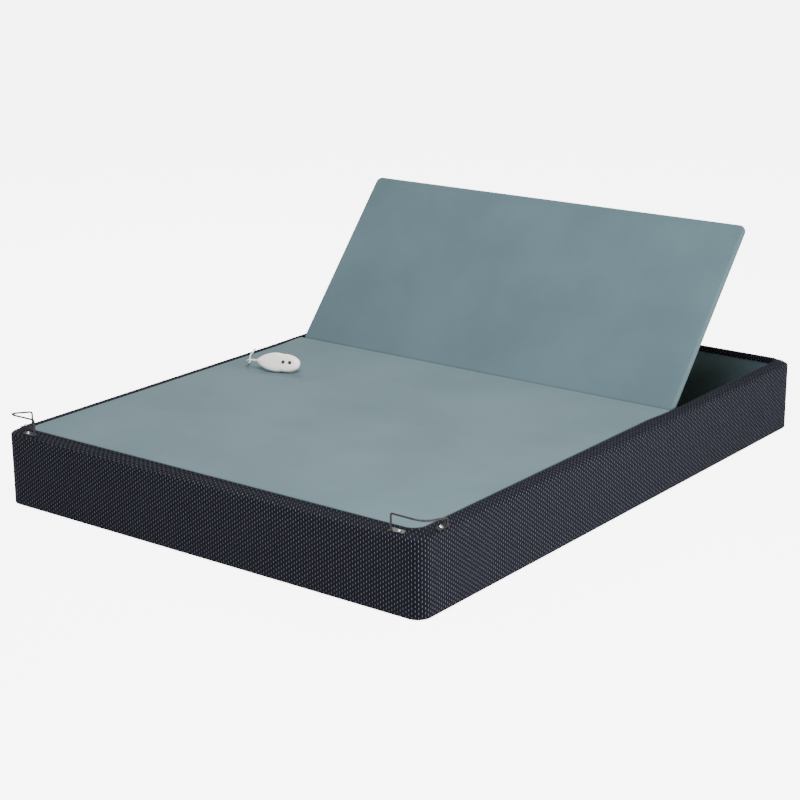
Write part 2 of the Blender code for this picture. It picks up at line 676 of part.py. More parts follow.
def make_actuator(finishes):
    """Gearbox, motor and outer tube swing on the rear pin; the rod slides along their Y axis."""
    at_rest = front_pin_place(HEAD_ANGLE) - rear_pin_place()
    frame = empty("actuator_pivot", (0, REAR_PIN_Y, REAR_PIN_Z))
    frame.rotation_euler.x = math.atan2(at_rest.imag, at_rest.real)
    reach = abs(at_rest)

    half_x, half_y, half_z = GEARBOX_HALF
    eye = arc((0, 0), 0.016, 90, 270, 9) + [(GEARBOX_CENTRE, -0.016), (GEARBOX_CENTRE, 0.016)]
    gearbox = box(
        "actuator_gearbox", (-half_x, GEARBOX_CENTRE - half_y, -half_z),
        (half_x, GEARBOX_CENTRE + half_y, half_z), finishes["grey_plastic"], frame,
    )
    round_edges(gearbox, 0.005, 2)
    merge(gearbox, prism(
        "rear_eye", eye, "X", -EYE_HALF_WIDTH, EYE_HALF_WIDTH, finishes["grey_plastic"], frame
    ))
    bore = pin("rear_bore", PIN_RADIUS + PIN_PLAY, 4 * EYE_HALF_WIDTH, finishes["zinc"], frame)
    bore.location = (-2 * EYE_HALF_WIDTH, 0, 0)
    along_x(bore)
    cut(gearbox, bore)

    motor_profile = [(0, 0), (MOTOR_RADIUS, 0), (MOTOR_RADIUS, MOTOR_LENGTH - 0.006)]
    motor_profile += [(MOTOR_RADIUS - 0.006, MOTOR_LENGTH), (0, MOTOR_LENGTH)]
    motor = turned("actuator_motor", motor_profile, finishes["black_steel"], frame)
    motor.location = (half_x + TOUCH, GEARBOX_CENTRE - 0.003, 0)
    along_x(motor)

    start = GEARBOX_CENTRE + half_y + TOUCH
    guide = ROD_RADIUS + SLIDE_PLAY
    tube_profile = [(TUBE_BORE, start), (TUBE_RADIUS, start), (TUBE_RADIUS, TUBE_END)]
    tube_profile += [(guide, TUBE_END), (guide, TUBE_END - GUIDE_LENGTH)]
    tube_profile += [(TUBE_BORE, TUBE_END - GUIDE_LENGTH)]
    along_y(turned("actuator_tube", tube_profile, finishes["grey_plastic"], frame))

    screw_profile = [(0, start), (SCREW_RADIUS, start), (SCREW_RADIUS, SCREW_END), (0, SCREW_END)]
    along_y(turned("lead_screw", screw_profile, finishes["bright"], frame, 16))

    rod_start = reach - ROD_LENGTH
    rod_profile = [(ROD_BORE, rod_start), (ROD_RADIUS, rod_start), (ROD_RADIUS, reach - 0.008)]
    rod_profile += [(0, reach - 0.008), (0, rod_start + ROD_BORE_DEPTH)]
    rod_profile += [(ROD_BORE, rod_start + ROD_BORE_DEPTH)]
    rod = turned("actuator_rod", rod_profile, finishes["bright"], frame)
    along_y(rod)
    fork = arc((reach, 0), 0.0125, -90, 90, 9)
    fork += [(reach - 0.024, 0.0105), (reach - 0.024, -0.0105)]
    merge(rod, prism("rod_eye", fork, "X", -EYE_HALF_WIDTH + 0.001, EYE_HALF_WIDTH - 0.001,
                     finishes["bright"], frame))
    rod_bore = pin("rod_bore", PIN_RADIUS + PIN_PLAY / 2, 4 * EYE_HALF_WIDTH, finishes["zinc"], frame)
    rod_bore.location = (-2 * EYE_HALF_WIDTH, reach, 0)
    along_x(rod_bore)
    cut(rod, rod_bore)

    overhang = EYE_HALF_WIDTH + 0.002 + LEVER_THICKNESS + 0.0015
    front = pin(
        "actuator_front_pin", PIN_RADIUS, 2 * overhang, finishes["zinc"], frame,
        head=PIN_RADIUS + 0.003, head_depth=0.003,
    )
    front.location = (-overhang, reach, 0)
    along_x(front)


def make_rear_bracket(finishes):
    """A U bracket on the actuator joist that holds the rear pin."""
    face = ACTUATOR_JOIST_Y + JOIST_THICKNESS + TOUCH
    inner = EYE_HALF_WIDTH + 0.001
    thick = 0.004
    steel = finishes["black_steel"]
    cheek = arc((REAR_PIN_Y, REAR_PIN_Z), 0.018, -90, 90, 9)
    cheek += [(face, REAR_PIN_Z + 0.024), (face, REAR_PIN_Z - 0.018)]
    bracket = box(
        "actuator_bracket", (-0.045, face, REAR_PIN_Z - 0.018),
        (0.045, face + thick, FRAME_TOP - 0.070), steel,
    )
    for label, side in (("left", -1), ("right", 1)):
        faces = sorted((side * inner, side * (inner + thick)))
        merge(bracket, prism("cheek_" + label, cheek, "X", *faces, steel))
    bore = pin("bracket_bore", PIN_RADIUS + PIN_PLAY / 2, 6 * inner, finishes["zinc"])
    bore.location = (-3 * inner, REAR_PIN_Y, REAR_PIN_Z)
    along_x(bore)
    cut(bracket, bore)
    overhang = inner + thick + 0.0015
    rear = pin(
        "actuator_rear_pin", PIN_RADIUS, 2 * overhang, finishes["zinc"],
        head=PIN_RADIUS + 0.003, head_depth=0.003,
    )
    rear.location = (-overhang, REAR_PIN_Y, REAR_PIN_Z)
    along_x(rear)


def make_control_box(finishes):
    """Power supply and control under the deck board, with its mains inlet and cable sockets."""
    low_x, low_y = CONTROL_BOX_LOW
    size_x, size_y, size_z = CONTROL_BOX_SIZE
    top = FRAME_TOP
    housing = box(
        "control_box", (low_x, low_y, top - size_z), (low_x + size_x, low_y + size_y, top),
        finishes["black_plastic"], bevel=0.003,
    )
    for label, x, wide, tall in (("mains_inlet", 0.030, 0.028, 0.020), ("motor_socket", 0.085, 0.014, 0.010),
                                 ("handset_socket", 0.130, 0.012, 0.012)):
        middle = top - size_z / 2
        cut(housing, box(
            label, (low_x + x, low_y - 0.01, middle - tall / 2),
            (low_x + x + wide, low_y + 0.014, middle + tall / 2), finishes["black_plastic"],
        ))


# ---------------------------------------------------------------- mattress retainer bars
def inset_from_corner(insets):
    """Place in the right foot corner, from its distances to the side face and the foot face."""
    return Vector((HALF_W - insets[0], insets[1] - HALF_L))


def retainer_path(side_insets, foot_rise, side_rise, bend):
    """Centre line of the right-hand bar: up the foot leg, round the corner and down the side leg."""
    corner = inset_from_corner(RETAINER_CORNER)
    start = inset_from_corner(RETAINER_FOOT_LEG)
    end = inset_from_corner(side_insets)
    before = corner + (start - corner).normalized() * bend
    after = corner + (end - corner).normalized() * bend
    plan = [start, start.lerp(before, 0.5)]
    for t in np.linspace(0, 1, 9):
        plan.append(before * (1 - t) ** 2 + corner * 2 * t * (1 - t) + after * t * t)
    plan += [after.lerp(end, 0.5), end]
    base = rim_height(RETAINER_FOOT_LEG[1])
    points = [(*start, base + 0.001)]
    for place in plan:
        share = (place.y - start.y) / (end.y - start.y)
        rise = foot_rise + (side_rise - foot_rise) * share
        points.append((*place, base + rise))
    points.append((*end, rim_height(side_insets[0]) + 0.001))
    return [Vector(point) for point in points]


def rim_height(inset):
    """Height of the rim's surface at this distance from the outer face."""
    share = min(inset / RIM_WIDTH, 1.0)
    return FOLD_HEIGHT + (DECK_TOP - FOLD_HEIGHT) * math.sin(share * math.pi / 2)


def sweep(name, points, radius, material, sides=8):
    """A round wire through the points, with each ring square to the path."""
    rings = []
    side = None
    for i, point in enumerate(points):
        before = points[max(i - 1, 0)]
        after = points[min(i + 1, len(points) - 1)]
        forward = ((point - before).normalized() + (after - point).normalized()).normalized()
        side = (side or Vector((0, 1, 0))) - forward * forward.dot(side or Vector((0, 1, 0)))
        side.normalize()
        up = forward.cross(side)
        angles = np.linspace(0, 2 * math.pi, sides, endpoint=False)
        rings.append([point + radius * (side * math.cos(a) + up * math.sin(a)) for a in angles])
    return loft(name, rings, material, smooth=True)


def tab_frame(inset, edge, outward):
    """Matrix of a tab lying on the rim's slope: X along the edge, Y outwards and down."""
    step = 0.002
    slope = math.atan2(rim_height(inset + step) - rim_height(inset - step), 2 * step)
    x_axis = Vector((*edge, 0))
    y_axis = Vector((outward[0] * math.cos(slope), outward[1] * math.cos(slope), -math.sin(slope)))
    z_axis = x_axis.cross(y_axis)
    if z_axis.z < 0:
        z_axis.negate()
    return Matrix((x_axis, y_axis, z_axis)).transposed().to_4x4()


def make_retainer(label, side_x, side_insets, foot_rise, side_rise, bend, finishes):
    """A bent wire bar at a foot corner, welded to two tabs that are screwed through the rim."""
    mirror = Matrix.Diagonal((side_x, 1, 1, 1))
    path = [mirror @ point for point in retainer_path(side_insets, foot_rise, side_rise, bend)]
    steel = finishes["black_steel"]
    bar = sweep("retainer_" + label, path, RETAINER_WIRE / 2, steel)
    length, width, thick = RETAINER_TAB
    legs = {
        "foot": (RETAINER_FOOT_LEG, (1, 0), (0, -1), RETAINER_FOOT_LEG[1]),
        "side": (side_insets, (0, -1), (1, 0), side_insets[0]),
    }
    for end, (insets, edge, outward, inset) in legs.items():
        frame = Matrix.Translation((*inset_from_corner(insets), rim_height(inset) + 0.0016))
        frame = mirror @ frame @ tab_frame(inset, edge, outward)
        corners = [(-0.004, -width / 2), (length, -width / 2), (length, width / 2), (-0.004, width / 2)]
        rings = [[frame @ Vector((*pair, z)) for pair in corners] for z in (0, thick)]
        merge(bar, loft(f"tab_{label}_{end}", rings, steel))
        hole = []
        for z in (-0.01, 0.01):
            ring = arc((RETAINER_SCREW_AT, 0), SCREW_HOLE_RADIUS, 0, 330, 12)
            hole.append([frame @ Vector((*pair, z)) for pair in ring])
        cut(bar, loft(f"screw_hole_{label}_{end}", hole, steel))
        head = thick + TOUCH
        profile = [(0, 0.0002), (0.0022, 0.0002), (0.0022, head), (SCREW_HEAD_RADIUS, head)]
        profile += [(SCREW_HEAD_RADIUS * 0.9, head + 0.0018), (SCREW_HEAD_RADIUS * 0.5, head + 0.0032)]
        profile += [(0, head + 0.0035)]
        angles = np.linspace(0, 2 * math.pi, 16, endpoint=False)
        rings = [
            [frame @ Vector((RETAINER_SCREW_AT + r * math.cos(a), r * math.sin(a), h)) for r, h in profile]
            for a in angles
        ]
        loft(f"retainer_screw_{label}_{end}", rings, finishes["bright"], smooth=True, wrap=True)


# ---------------------------------------------------------------- handset
def handset_edge(angle):
    """Edge of the handset: an ellipse drawn to a point at the tail, with a waist behind the buttons."""
    x = HANDSET_LENGTH / 2 * math.cos(angle)
    share = (1 - math.cos(angle)) / 2
    waist = 1 - 0.07 * math.exp(-(((x - 0.016) / 0.012) ** 2))
    fullness = abs(math.sin(angle)) ** (0.80 + 0.90 * share ** 2)
    y = HANDSET_WIDTH / 2 * waist * fullness * (1 - 0.08 * share)
    return x, math.copysign(y, math.sin(angle))


def handset_depth(reach, depth):
    """Depth of the shell at this share of the way from its middle to its edge."""
    return depth * (1 - reach ** 4) ** 0.4


def handset_shell(name, depth, side, material, parent):
    """Half of the handset as a shell, from its parting line out; side is +1 for the face."""
    angles = np.linspace(0, 2 * math.pi, 36, endpoint=False)
    edge = [handset_edge(angle) for angle in angles]
    outside = [(r, 1.0, depth) for r in (0.0, 0.35, 0.62, 0.80, 0.91, 0.97, 1.0)]
    thinner = 1 - HANDSET_WALL / (HANDSET_WIDTH / 2)
    inside = [(r, thinner, depth - HANDSET_WALL) for r in (1.0, 0.95, 0.82, 0.60, 0.0)]
    rings = []
    for reach, scale, deep in outside + inside:
        height = side * (handset_depth(reach, deep) + TOUCH / 2)
        rings.append([(x * reach * scale, y * reach * scale, height) for x, y in edge])
    points = np.asarray(rings).reshape(-1, 3)
    count, around = len(rings), len(edge)
    faces = []
    for i in range(count - 1):
        for j in range(around):
            k = (j + 1) % around
            faces.append((i * around + j, i * around + k, (i + 1) * around + k, (i + 1) * around + j))
    return solid(name, points, faces, material, parent, smooth=True)


def make_handset(finishes):
    """Two shells, two buttons and the cord's strain relief; the handset lies on edge on the deck."""
    frame = empty("handset_frame", (*HANDSET_CENTRE, DECK_TOP))
    turn = Matrix.Rotation(HANDSET_HEADING, 4, "Z") @ Matrix.Rotation(HANDSET_TILT, 4, "X")
    frame.rotation_euler = turn.to_euler()
    white = finishes["white_plastic"]
    shells = (
        handset_shell("handset_face", HANDSET_FRONT_DEPTH, 1, white, frame),
        handset_shell("handset_back", HANDSET_BACK_DEPTH, -1, white, frame),
    )
    lowest = min((turn @ v.co).z for shell in shells for v in shell.data.vertices)
    frame.location.z = DECK_TOP + TOUCH - lowest

    tail = -HANDSET_LENGTH / 2 + 0.004
    for shell in shells:
        blunt = box(
            "blunt_" + shell.name, (tail - 0.02, -0.03, -0.03), (tail, 0.03, 0.03), white, frame
        )
        cut(shell, blunt)

    profile = [(0, 0), (0.0042, 0), (0.0042, 0.004), (0.0031, RELIEF_LENGTH), (0, RELIEF_LENGTH)]
    relief = turned("cord_strain_relief", profile, finishes["white_rubber"], frame, 16)
    relief.location = (tail - TOUCH, 0, 0)
    relief.rotation_euler = (0, math.radians(-90), 0)

    for name, x in zip(("handset_button_lower", "handset_button_raise"), BUTTON_PLACES):
        reach = x / (HANDSET_LENGTH / 2)
        face = handset_depth(reach, HANDSET_FRONT_DEPTH)
        under = handset_depth(reach, HANDSET_FRONT_DEPTH - HANDSET_WALL)
        hole = pin("hole_" + name, BUTTON_RADIUS + BUTTON_PLAY, 0.02, white, frame, segments=24)
        hole.location = (x, 0, face - 0.008)
        cut(shells[0], hole)
        flange = BUTTON_RADIUS + 0.0015
        low = under - 0.0030
        profile = [(0, low), (flange, low), (flange, low + 0.0012), (BUTTON_RADIUS, low + 0.0012)]
        profile += [(BUTTON_RADIUS, face + BUTTON_PROUD - 0.0006)]
        profile += [(BUTTON_RADIUS - 0.0010, face + BUTTON_PROUD), (0, face + BUTTON_PROUD)]
        button = turned(name, profile, finishes["black_plastic"], frame)
        button.location = (x, 0, 0)
    return frame


# ---------------------------------------------------------------- handset cord
CORD_FROM_HANDSET = [
    (-0.5975, -0.1116, 0.2608),
    (-0.6080, -0.1140, 0.2585),
    (-0.6200, -0.1085, 0.2500),
    (-0.6310, -0.0900, 0.2395),
    (-0.6450, -0.0660, 0.2335),
    (-0.6620, -0.0440, 0.2328),
    (-0.6820, -0.0220, 0.2328),
    (-0.7020, 0.0040, 0.2335),
    (-0.7180, 0.0360, 0.2350),
    (-0.7360, 0.0640, 0.2340),
    (-0.7520, 0.0820, 0.2290),
    (-0.7640, 0.0940, 0.2200),
    (-0.7665, 0.1010, 0.2030),
    (-0.7660, 0.1080, 0.1700),
    (-0.7660, 0.1180, 0.1200),
    (-0.7670, 0.1320, 0.0700),
    (-0.7700, 0.1440, 0.0350),
    (-0.7780, 0.1500, 0.0120),
    (-0.7900, 0.1530, 0.0040),
    (-0.8080, 0.1545, 0.0030),
    (-0.8280, 0.1555, 0.0030),
]
CORD_TO_GROMMET = [
    (-0.8290, 0.2395, 0.0080),
    (-0.8120, 0.2402, 0.0085),
    (-0.7985, 0.2435, 0.0120),
    (-0.7880, 0.2500, 0.0205),
    (-0.7785, 0.2585, 0.0315),
    (-0.7690, 0.2620, 0.0360),
    (-0.7560, 0.2620, 0.0360),
]


def smooth_path(points, step):
    """Points about a step apart on a Catmull-Rom curve through the given ones."""
    points = [Vector(point) for point in points]
    padded = [2 * points[0] - points[1], *points, 2 * points[-1] - points[-2]]
    path = [points[0]]
    for before, a, b, after in zip(padded, padded[1:], padded[2:], padded[3:]):
        count = max(round((b - a).length / step), 1)
        for i in range(1, count + 1):
            t = i / count
            path.append(0.5 * (
                2 * a + (b - before) * t + (2 * before - 5 * a + 4 * b - after) * t ** 2
                + (3 * a - before - 3 * b + after) * t ** 3
            ))
    return path


def cord_run(name, points, material):
    """A plain round cord along a smooth route, closed at both ends."""
    path = smooth_path(points, 2.4 * CORD_DIAMETER)
    curve = bpy.data.curves.new(name, "CURVE")
    curve.dimensions = "3D"
    curve.bevel_depth = CORD_DIAMETER / 2
    curve.bevel_resolution = 2
    curve.use_fill_caps = True
    line = curve.splines.new("POLY")
    line.points.add(len(path) - 1)
    for spot, point in zip(line.points, path):
        spot.co = (*point, 1)
    curve.materials.append(material)
    made = bpy.data.objects.new(name, curve)
    bpy.context.scene.collection.objects.link(made)


def make_cord(finishes):
    """The handset's cord: over the rim to a coil on the floor, and back in through a grommet."""
    white = finishes["white_rubber"]
    cord_run("handset_cord", CORD_FROM_HANDSET, white)
    cord_run("cord_end", CORD_TO_GROMMET, white)
    half = COIL_COLUMNS * CORD_DIAMETER / 2
    low = TOUCH
    high = TOUCH + 1.87 * CORD_DIAMETER
    profile = [(COIL_MIDDLE_RADIUS - half, low), (COIL_MIDDLE_RADIUS + half, low)]
    profile += [(COIL_MIDDLE_RADIUS + half, high), (COIL_MIDDLE_RADIUS - half, high)]
    coil = turned("cord_coil", profile, white)
    coil.location = (*COIL_CENTRE, 0)


def make_grommet(finishes, border, rail):
    """A rubber ring in the left border where the cord goes in, and the holes behind it."""
    for target, radius, reach in ((border, GROMMET_RADIUS + TOUCH, 0.02), (rail, RAIL_HOLE_RADIUS, 0.05)):
        hole = pin("hole_" + target.name, radius, 2 * reach, finishes["rubber"])
        hole.location = (-HALF_W - reach, GROMMET_Y, GROMMET_Z)
        along_x(hole)
        cut(target, hole)
    profile = [(GROMMET_BORE, 0), (GROMMET_RADIUS, 0), (GROMMET_RADIUS, BORDER_THICKNESS)]
    profile += [(GROMMET_RADIUS + 0.003, BORDER_THICKNESS + TOUCH)]
    profile += [(GROMMET_RADIUS + 0.002, BORDER_THICKNESS + 0.0022)]
    profile += [(GROMMET_BORE, BORDER_THICKNESS + 0.0026)]
    grommet = turned("cord_grommet", profile, finishes["rubber"])
    grommet.location = (-HALF_W + BORDER_THICKNESS, GROMMET_Y, GROMMET_Z)
    grommet.rotation_euler = (0, math.radians(-90), 0)


# ---------------------------------------------------------------- assembly
def main():
    clear_scene()
    finishes = make_finishes()
    border = make_border(finishes)
    rails = make_rails(finishes)
    make_dust_cover(finishes, make_feet(finishes))
    make_bay_liner(finishes)
    make_deck(finishes)
    head_pivot = empty("head_pivot", (0, HINGE_Y, HINGE_Z))
    head_pivot.rotation_euler.x = HEAD_ANGLE
    make_head_panel(finishes, head_pivot)
    for label, side in (("left", -1), ("right", 1)):
        make_hinge(label, side * HINGE_X, finishes, head_pivot)
    make_levers(finishes, head_pivot)
    make_actuator(finishes)
    make_rear_bracket(finishes)
    make_control_box(finishes)
    for label, shape in RETAINER_SHAPES.items():
        make_retainer(label, *shape, finishes)
    make_handset(finishes)
    make_cord(finishes)
    make_grommet(finishes, border["border_left"], rails["side_rail_left"])


main()
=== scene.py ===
# %% [markdown]
# # An adjustable bed base
# The real base is a low upholstered box. Its head panel is lifted by an electric actuator, two bent wire
# bars keep the mattress from sliding off the foot end, and a corded handset lies on the deck.
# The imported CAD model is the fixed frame. Everything soft, and everything seen close up, is made here as a
# surface worked out with numpy, and each piece takes its place from the frame's boxes and joints.

# %% Load the frame
import json
import math

import bmesh
import bpy
import numpy as np
from mathutils import Matrix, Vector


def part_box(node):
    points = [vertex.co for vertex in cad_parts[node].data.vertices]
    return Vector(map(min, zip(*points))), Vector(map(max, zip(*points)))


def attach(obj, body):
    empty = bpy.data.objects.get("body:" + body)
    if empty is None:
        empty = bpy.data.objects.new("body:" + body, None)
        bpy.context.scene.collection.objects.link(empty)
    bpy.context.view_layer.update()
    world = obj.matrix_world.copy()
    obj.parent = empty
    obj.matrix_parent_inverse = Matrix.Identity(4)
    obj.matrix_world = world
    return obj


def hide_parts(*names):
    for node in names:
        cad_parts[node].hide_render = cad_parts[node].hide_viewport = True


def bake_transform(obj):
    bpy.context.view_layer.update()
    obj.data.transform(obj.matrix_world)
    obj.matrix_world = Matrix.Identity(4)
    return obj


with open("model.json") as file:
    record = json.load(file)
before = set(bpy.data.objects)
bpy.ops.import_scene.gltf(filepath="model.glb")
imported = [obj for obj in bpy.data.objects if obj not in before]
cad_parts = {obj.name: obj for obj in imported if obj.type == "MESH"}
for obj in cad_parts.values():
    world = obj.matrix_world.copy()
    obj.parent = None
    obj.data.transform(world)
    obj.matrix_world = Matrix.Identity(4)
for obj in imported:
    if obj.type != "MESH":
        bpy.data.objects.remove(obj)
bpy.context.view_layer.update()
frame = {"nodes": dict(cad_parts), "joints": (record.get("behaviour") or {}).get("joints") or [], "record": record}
nodes = frame["nodes"]
joints = {joint["name"]: joint for joint in frame["joints"]}

# %% [markdown]
# ## Sizes
# The box of each CAD node gives the outer sizes, and the head panel's joint gives the hinge line and how far
# the panel is raised. The few sizes below them are the ones a box can't tell, such as a corner's radius.

# %% Sizes, in metres
border_low, border_high = np.array(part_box("border_right"))
HALF_W = border_high[0]
HALF_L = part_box("border_head")[1][1]
HEM_Z = border_low[2]
DECK_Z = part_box("deck_pad")[1][2]
PANEL_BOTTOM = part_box("deck_pad")[0][2]
PANEL_THICKNESS = DECK_Z - PANEL_BOTTOM
DECK_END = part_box("deck_pad")[1][1]
HINGE = np.array(joints["head_hinge"]["pos_m"])
HEAD_ANGLE = -math.radians(joints["head_hinge"]["range_deg"][0])
FOLD_Z = DECK_Z - 0.010            # the cloth turns over the top edge a little lower than the deck
BORDER_THICKNESS = 0.006
FOLD_RADIUS = 0.008
FLANGE_BOTTOM = 0.2133             # underside of the rim's cloth, on the rails
OUTER_CORNER = 0.040
WALL_CORNER = 0.026
RIM_CORNER = 0.042
BAY_CORNER = 0.030
RIM_WIDTH = 0.045
BAY_RIM_WIDTH = 0.037
FLARE = (0.150, 0.270)             # the rim narrows between these two places
TOUCH = 0.0003
print("base", 2 * HALF_W, "x", 2 * HALF_L, "m, deck at", round(DECK_Z, 4))

# %% [markdown]
# ## Surfaces from arrays
# Every new piece is a grid of points: rows run one way over the surface and columns the other. One helper
# turns such an array into a mesh. Where a row closes on itself the first and last points coincide, and they
# are merged, so the seam is closed but a pattern may still start and end there.

# %% Grid to mesh
def surface(name, grid, uv=None, closed=True):
    """Mesh through a (rows, columns, 3) array of points, with an optional map in metres of the same shape."""
    grid = np.asarray(grid, float)
    rows, columns = grid.shape[:2]
    index = np.arange(rows * columns).reshape(rows, columns)
    quads = np.stack([index[:-1, :-1], index[:-1, 1:], index[1:, 1:], index[1:, :-1]], axis=-1)
    quads = quads.reshape(-1, 4)
    mesh = bpy.data.meshes.new(name)
    mesh.from_pydata(grid.reshape(-1, 3).tolist(), [], quads.tolist())
    if uv is not None:
        layer = mesh.uv_layers.new(name="cloth")
        corners = np.asarray(uv, float).reshape(-1, 2)[quads.reshape(-1)]
        layer.data.foreach_set("uv", corners.reshape(-1))
    work = bmesh.new()
    work.from_mesh(mesh)
    bmesh.ops.remove_doubles(work, verts=work.verts, dist=2e-6)
    bmesh.ops.dissolve_degenerate(work, dist=1e-7, edges=work.edges)
    if closed:
        bmesh.ops.recalc_face_normals(work, faces=work.faces)
    work.to_mesh(mesh)
    work.free()
    mesh.shade_smooth()
    return linked(name, mesh)


def dress(piece, body, slot, *replaced):
    """Gives a piece the body it rides on, its slot with that finish, and the CAD nodes it stands for."""
    piece.data.materials.clear()
    piece.data.materials.append(finishes[slot])
    if body:
        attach(piece, body)
    if replaced:
        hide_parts(*replaced)
    print(piece.name, "on", body, "-", len(piece.data.polygons), "faces")
    return piece


def lengths_along(points):
    """Distance of each point from the first, measured along the row."""
    steps = np.linalg.norm(np.diff(points, axis=0), axis=1)
    return np.concatenate([[0], np.cumsum(steps)])


def unit(rows):
    """Each row divided by its own length."""
    return rows / np.linalg.norm(rows, axis=1)[:, None]


def linked(name, data):
    """A new object with this data, in the scene."""
    made = bpy.data.objects.new(name, data)
    bpy.context.scene.collection.objects.link(made)
    return made


def stood(place, axes):
    """Matrix that puts an object at a place, with the columns of axes as its own X, Y and Z."""
    return Matrix.Translation(place) @ Matrix(axes.tolist()).to_4x4()


def sharpen(piece, degrees=40):
    """Shades an edge sharp where its two faces meet at more than this angle."""
    piece.data.set_sharp_from_angle(angle=math.radians(degrees))
    return piece


def close_ends(piece):
    """Fills the open ends of a strip and turns all of its faces outwards."""
    work = bmesh.new()
    work.from_mesh(piece.data)
    bmesh.ops.holes_fill(work, edges=[edge for edge in work.edges if edge.is_boundary])
    bmesh.ops.recalc_face_normals(work, faces=work.faces)
    work.to_mesh(piece.data)
    work.free()


def drilled(piece, cutters, degrees=40):
    """Cuts each cutter out of the piece, and leaves a plain mesh."""
    for cutter in cutters:
        piece.modifiers.new("hole", "BOOLEAN").object = cutter
    bpy.context.view_layer.update()
    shaped = bpy.data.meshes.new_from_object(piece.evaluated_get(bpy.context.evaluated_depsgraph_get()))
    piece.modifiers.clear()
    piece.data = shaped
    piece.data.shade_smooth()
    for cutter in cutters:
        bpy.data.objects.remove(cutter)
    return sharpen(piece, degrees)


# %% [markdown]
# ## Camera
# The camera stands off the right front corner, a little under two metres up, with a mild telephoto lens.
# Its three axes are written as the columns of a matrix: right, up, and backwards.

# %% Camera
CAMERA_PLACE = (3.5085, -4.6854, 1.9887)
CAMERA_YAW = 127.4292              # heading of the view, anticlockwise from +X
CAMERA_PITCH = -16.952
CAMERA_ROLL = -0.4401
FOCAL_LENGTH = 88.62


def camera_axes(yaw, pitch, roll):
    """Right, up and backward vectors of a camera with this heading, pitch and roll in degrees."""
    yaw, pitch, roll = np.radians([yaw, pitch, roll])
    ahead = np.array([math.cos(yaw) * math.cos(pitch), math.sin(yaw) * math.cos(pitch), math.sin(pitch)])
    right = np.array([math.sin(yaw), -math.cos(yaw), 0.0])
    up = np.cross(right, ahead)
    turned_right = right * math.cos(roll) + up * math.sin(roll)
    turned_up = up * math.cos(roll) - right * math.sin(roll)
    return np.stack([turned_right, turned_up, -ahead], axis=1)


camera_data = bpy.data.cameras.new("camera")
camera_data.lens = FOCAL_LENGTH
camera_data.sensor_width = 36
camera = linked("camera", camera_data)
camera.matrix_world = stood(CAMERA_PLACE, camera_axes(CAMERA_YAW, CAMERA_PITCH, CAMERA_ROLL))
bpy.context.scene.camera = camera
print("camera axes", np.round(camera_axes(CAMERA_YAW, CAMERA_PITCH, CAMERA_ROLL), 3).tolist())

# %% [markdown]
# A turned piece is a profile of (radius, height) pairs carried round an axis. A tube is a circle carried
# along a path; the circle keeps its own turn from point to point, so the tube never twists.

# %% Turned pieces and tubes
def turned_grid(profile, turns=48):
    """Profile points (radius, height) turned about Z: one row per angle, the last row on the first."""
    profile = np.asarray(profile, float)
    angles = np.linspace(0, 2 * math.pi, turns + 1)
    x = np.outer(np.cos(angles), profile[:, 0])
    y = np.outer(np.sin(angles), profile[:, 0])
    z = np.broadcast_to(profile[:, 1], x.shape)
    return np.stack([x, y, z], axis=-1)


def path_frames(path):
    """For each point of a path, two unit vectors square to it that turn as little as they can."""
    ahead = unit(np.gradient(path, axis=0))
    side = np.empty_like(path)
    first = np.cross(ahead[0], [0.31, 0.17, 0.93])
    side[0] = first / np.linalg.norm(first)
    for i in range(1, len(path)):
        carried = side[i - 1] - ahead[i] * (side[i - 1] @ ahead[i])
        side[i] = carried / np.linalg.norm(carried)
    return side, np.cross(ahead, side)


def tube(name, path, radius, around=16):
    """A round tube along the path, its ends closed; the map runs along and around it in metres."""
    side, up = path_frames(path)
    angles = np.linspace(0, 2 * math.pi, around + 1)
    radii = np.broadcast_to(radius, len(path))[:, None, None]
    circle = np.cos(angles)[None, :, None] * side[:, None] + np.sin(angles)[None, :, None] * up[:, None]
    grid = path[:, None] + radii * circle
    start = np.repeat(path[None, :1], around + 1, axis=1)
    end = np.repeat(path[None, -1:], around + 1, axis=1)
    grid = np.concatenate([start, grid, end])
    along = lengths_along(path)
    along = np.concatenate([along[:1], along, along[-1:]])
    mapped = np.stack(np.broadcast_arrays(along[:, None], angles * np.mean(radius)), axis=-1)
    return sharpen(surface(name, grid, mapped), 50)


# %% [markdown]
# ## Materials
# Each finish is a small node tree. Cloth reads the piece's own map, which is in metres, so a weave keeps its
# real scale; wood, steel and plastic read Object coordinates, because every piece sits at the origin.

# %% Node helpers
def start_material(name, colour, roughness, metallic=0.0):
    """A material with its shader and a function that adds linked nodes."""
    material = bpy.data.materials.new(name)
    material.use_nodes = True
    tree = material.node_tree
    shader = tree.nodes["Principled BSDF"]
    shader.inputs["Base Color"].default_value = (*colour, 1)
    shader.inputs["Roughness"].default_value = roughness
    shader.inputs["Metallic"].default_value = metallic

    def add(kind, settings=None, **links):
        """A new node; i0, i1 and so on name a socket by its place."""
        node = tree.nodes.new(kind)
        for key, value in (settings or {}).items():
            setattr(node, key, value)
        for key, value in links.items():
            socket = node.inputs[int(key[1:])] if key[0] == "i" and key[1:].isdigit() else node.inputs[key]
            if hasattr(value, "is_output"):
                tree.links.new(value, socket)
            else:
                socket.default_value = value
        return node

    return material, shader, add, tree


def maths(add, operation, a, b=0.0):
    """The operation, done by one node on numbers or linked values."""
    return add("ShaderNodeMath", {"operation": operation}, i0=a, i1=b).outputs[0]


def product(add, a, b):
    """One value times another."""
    return maths(add, "MULTIPLY", a, b)


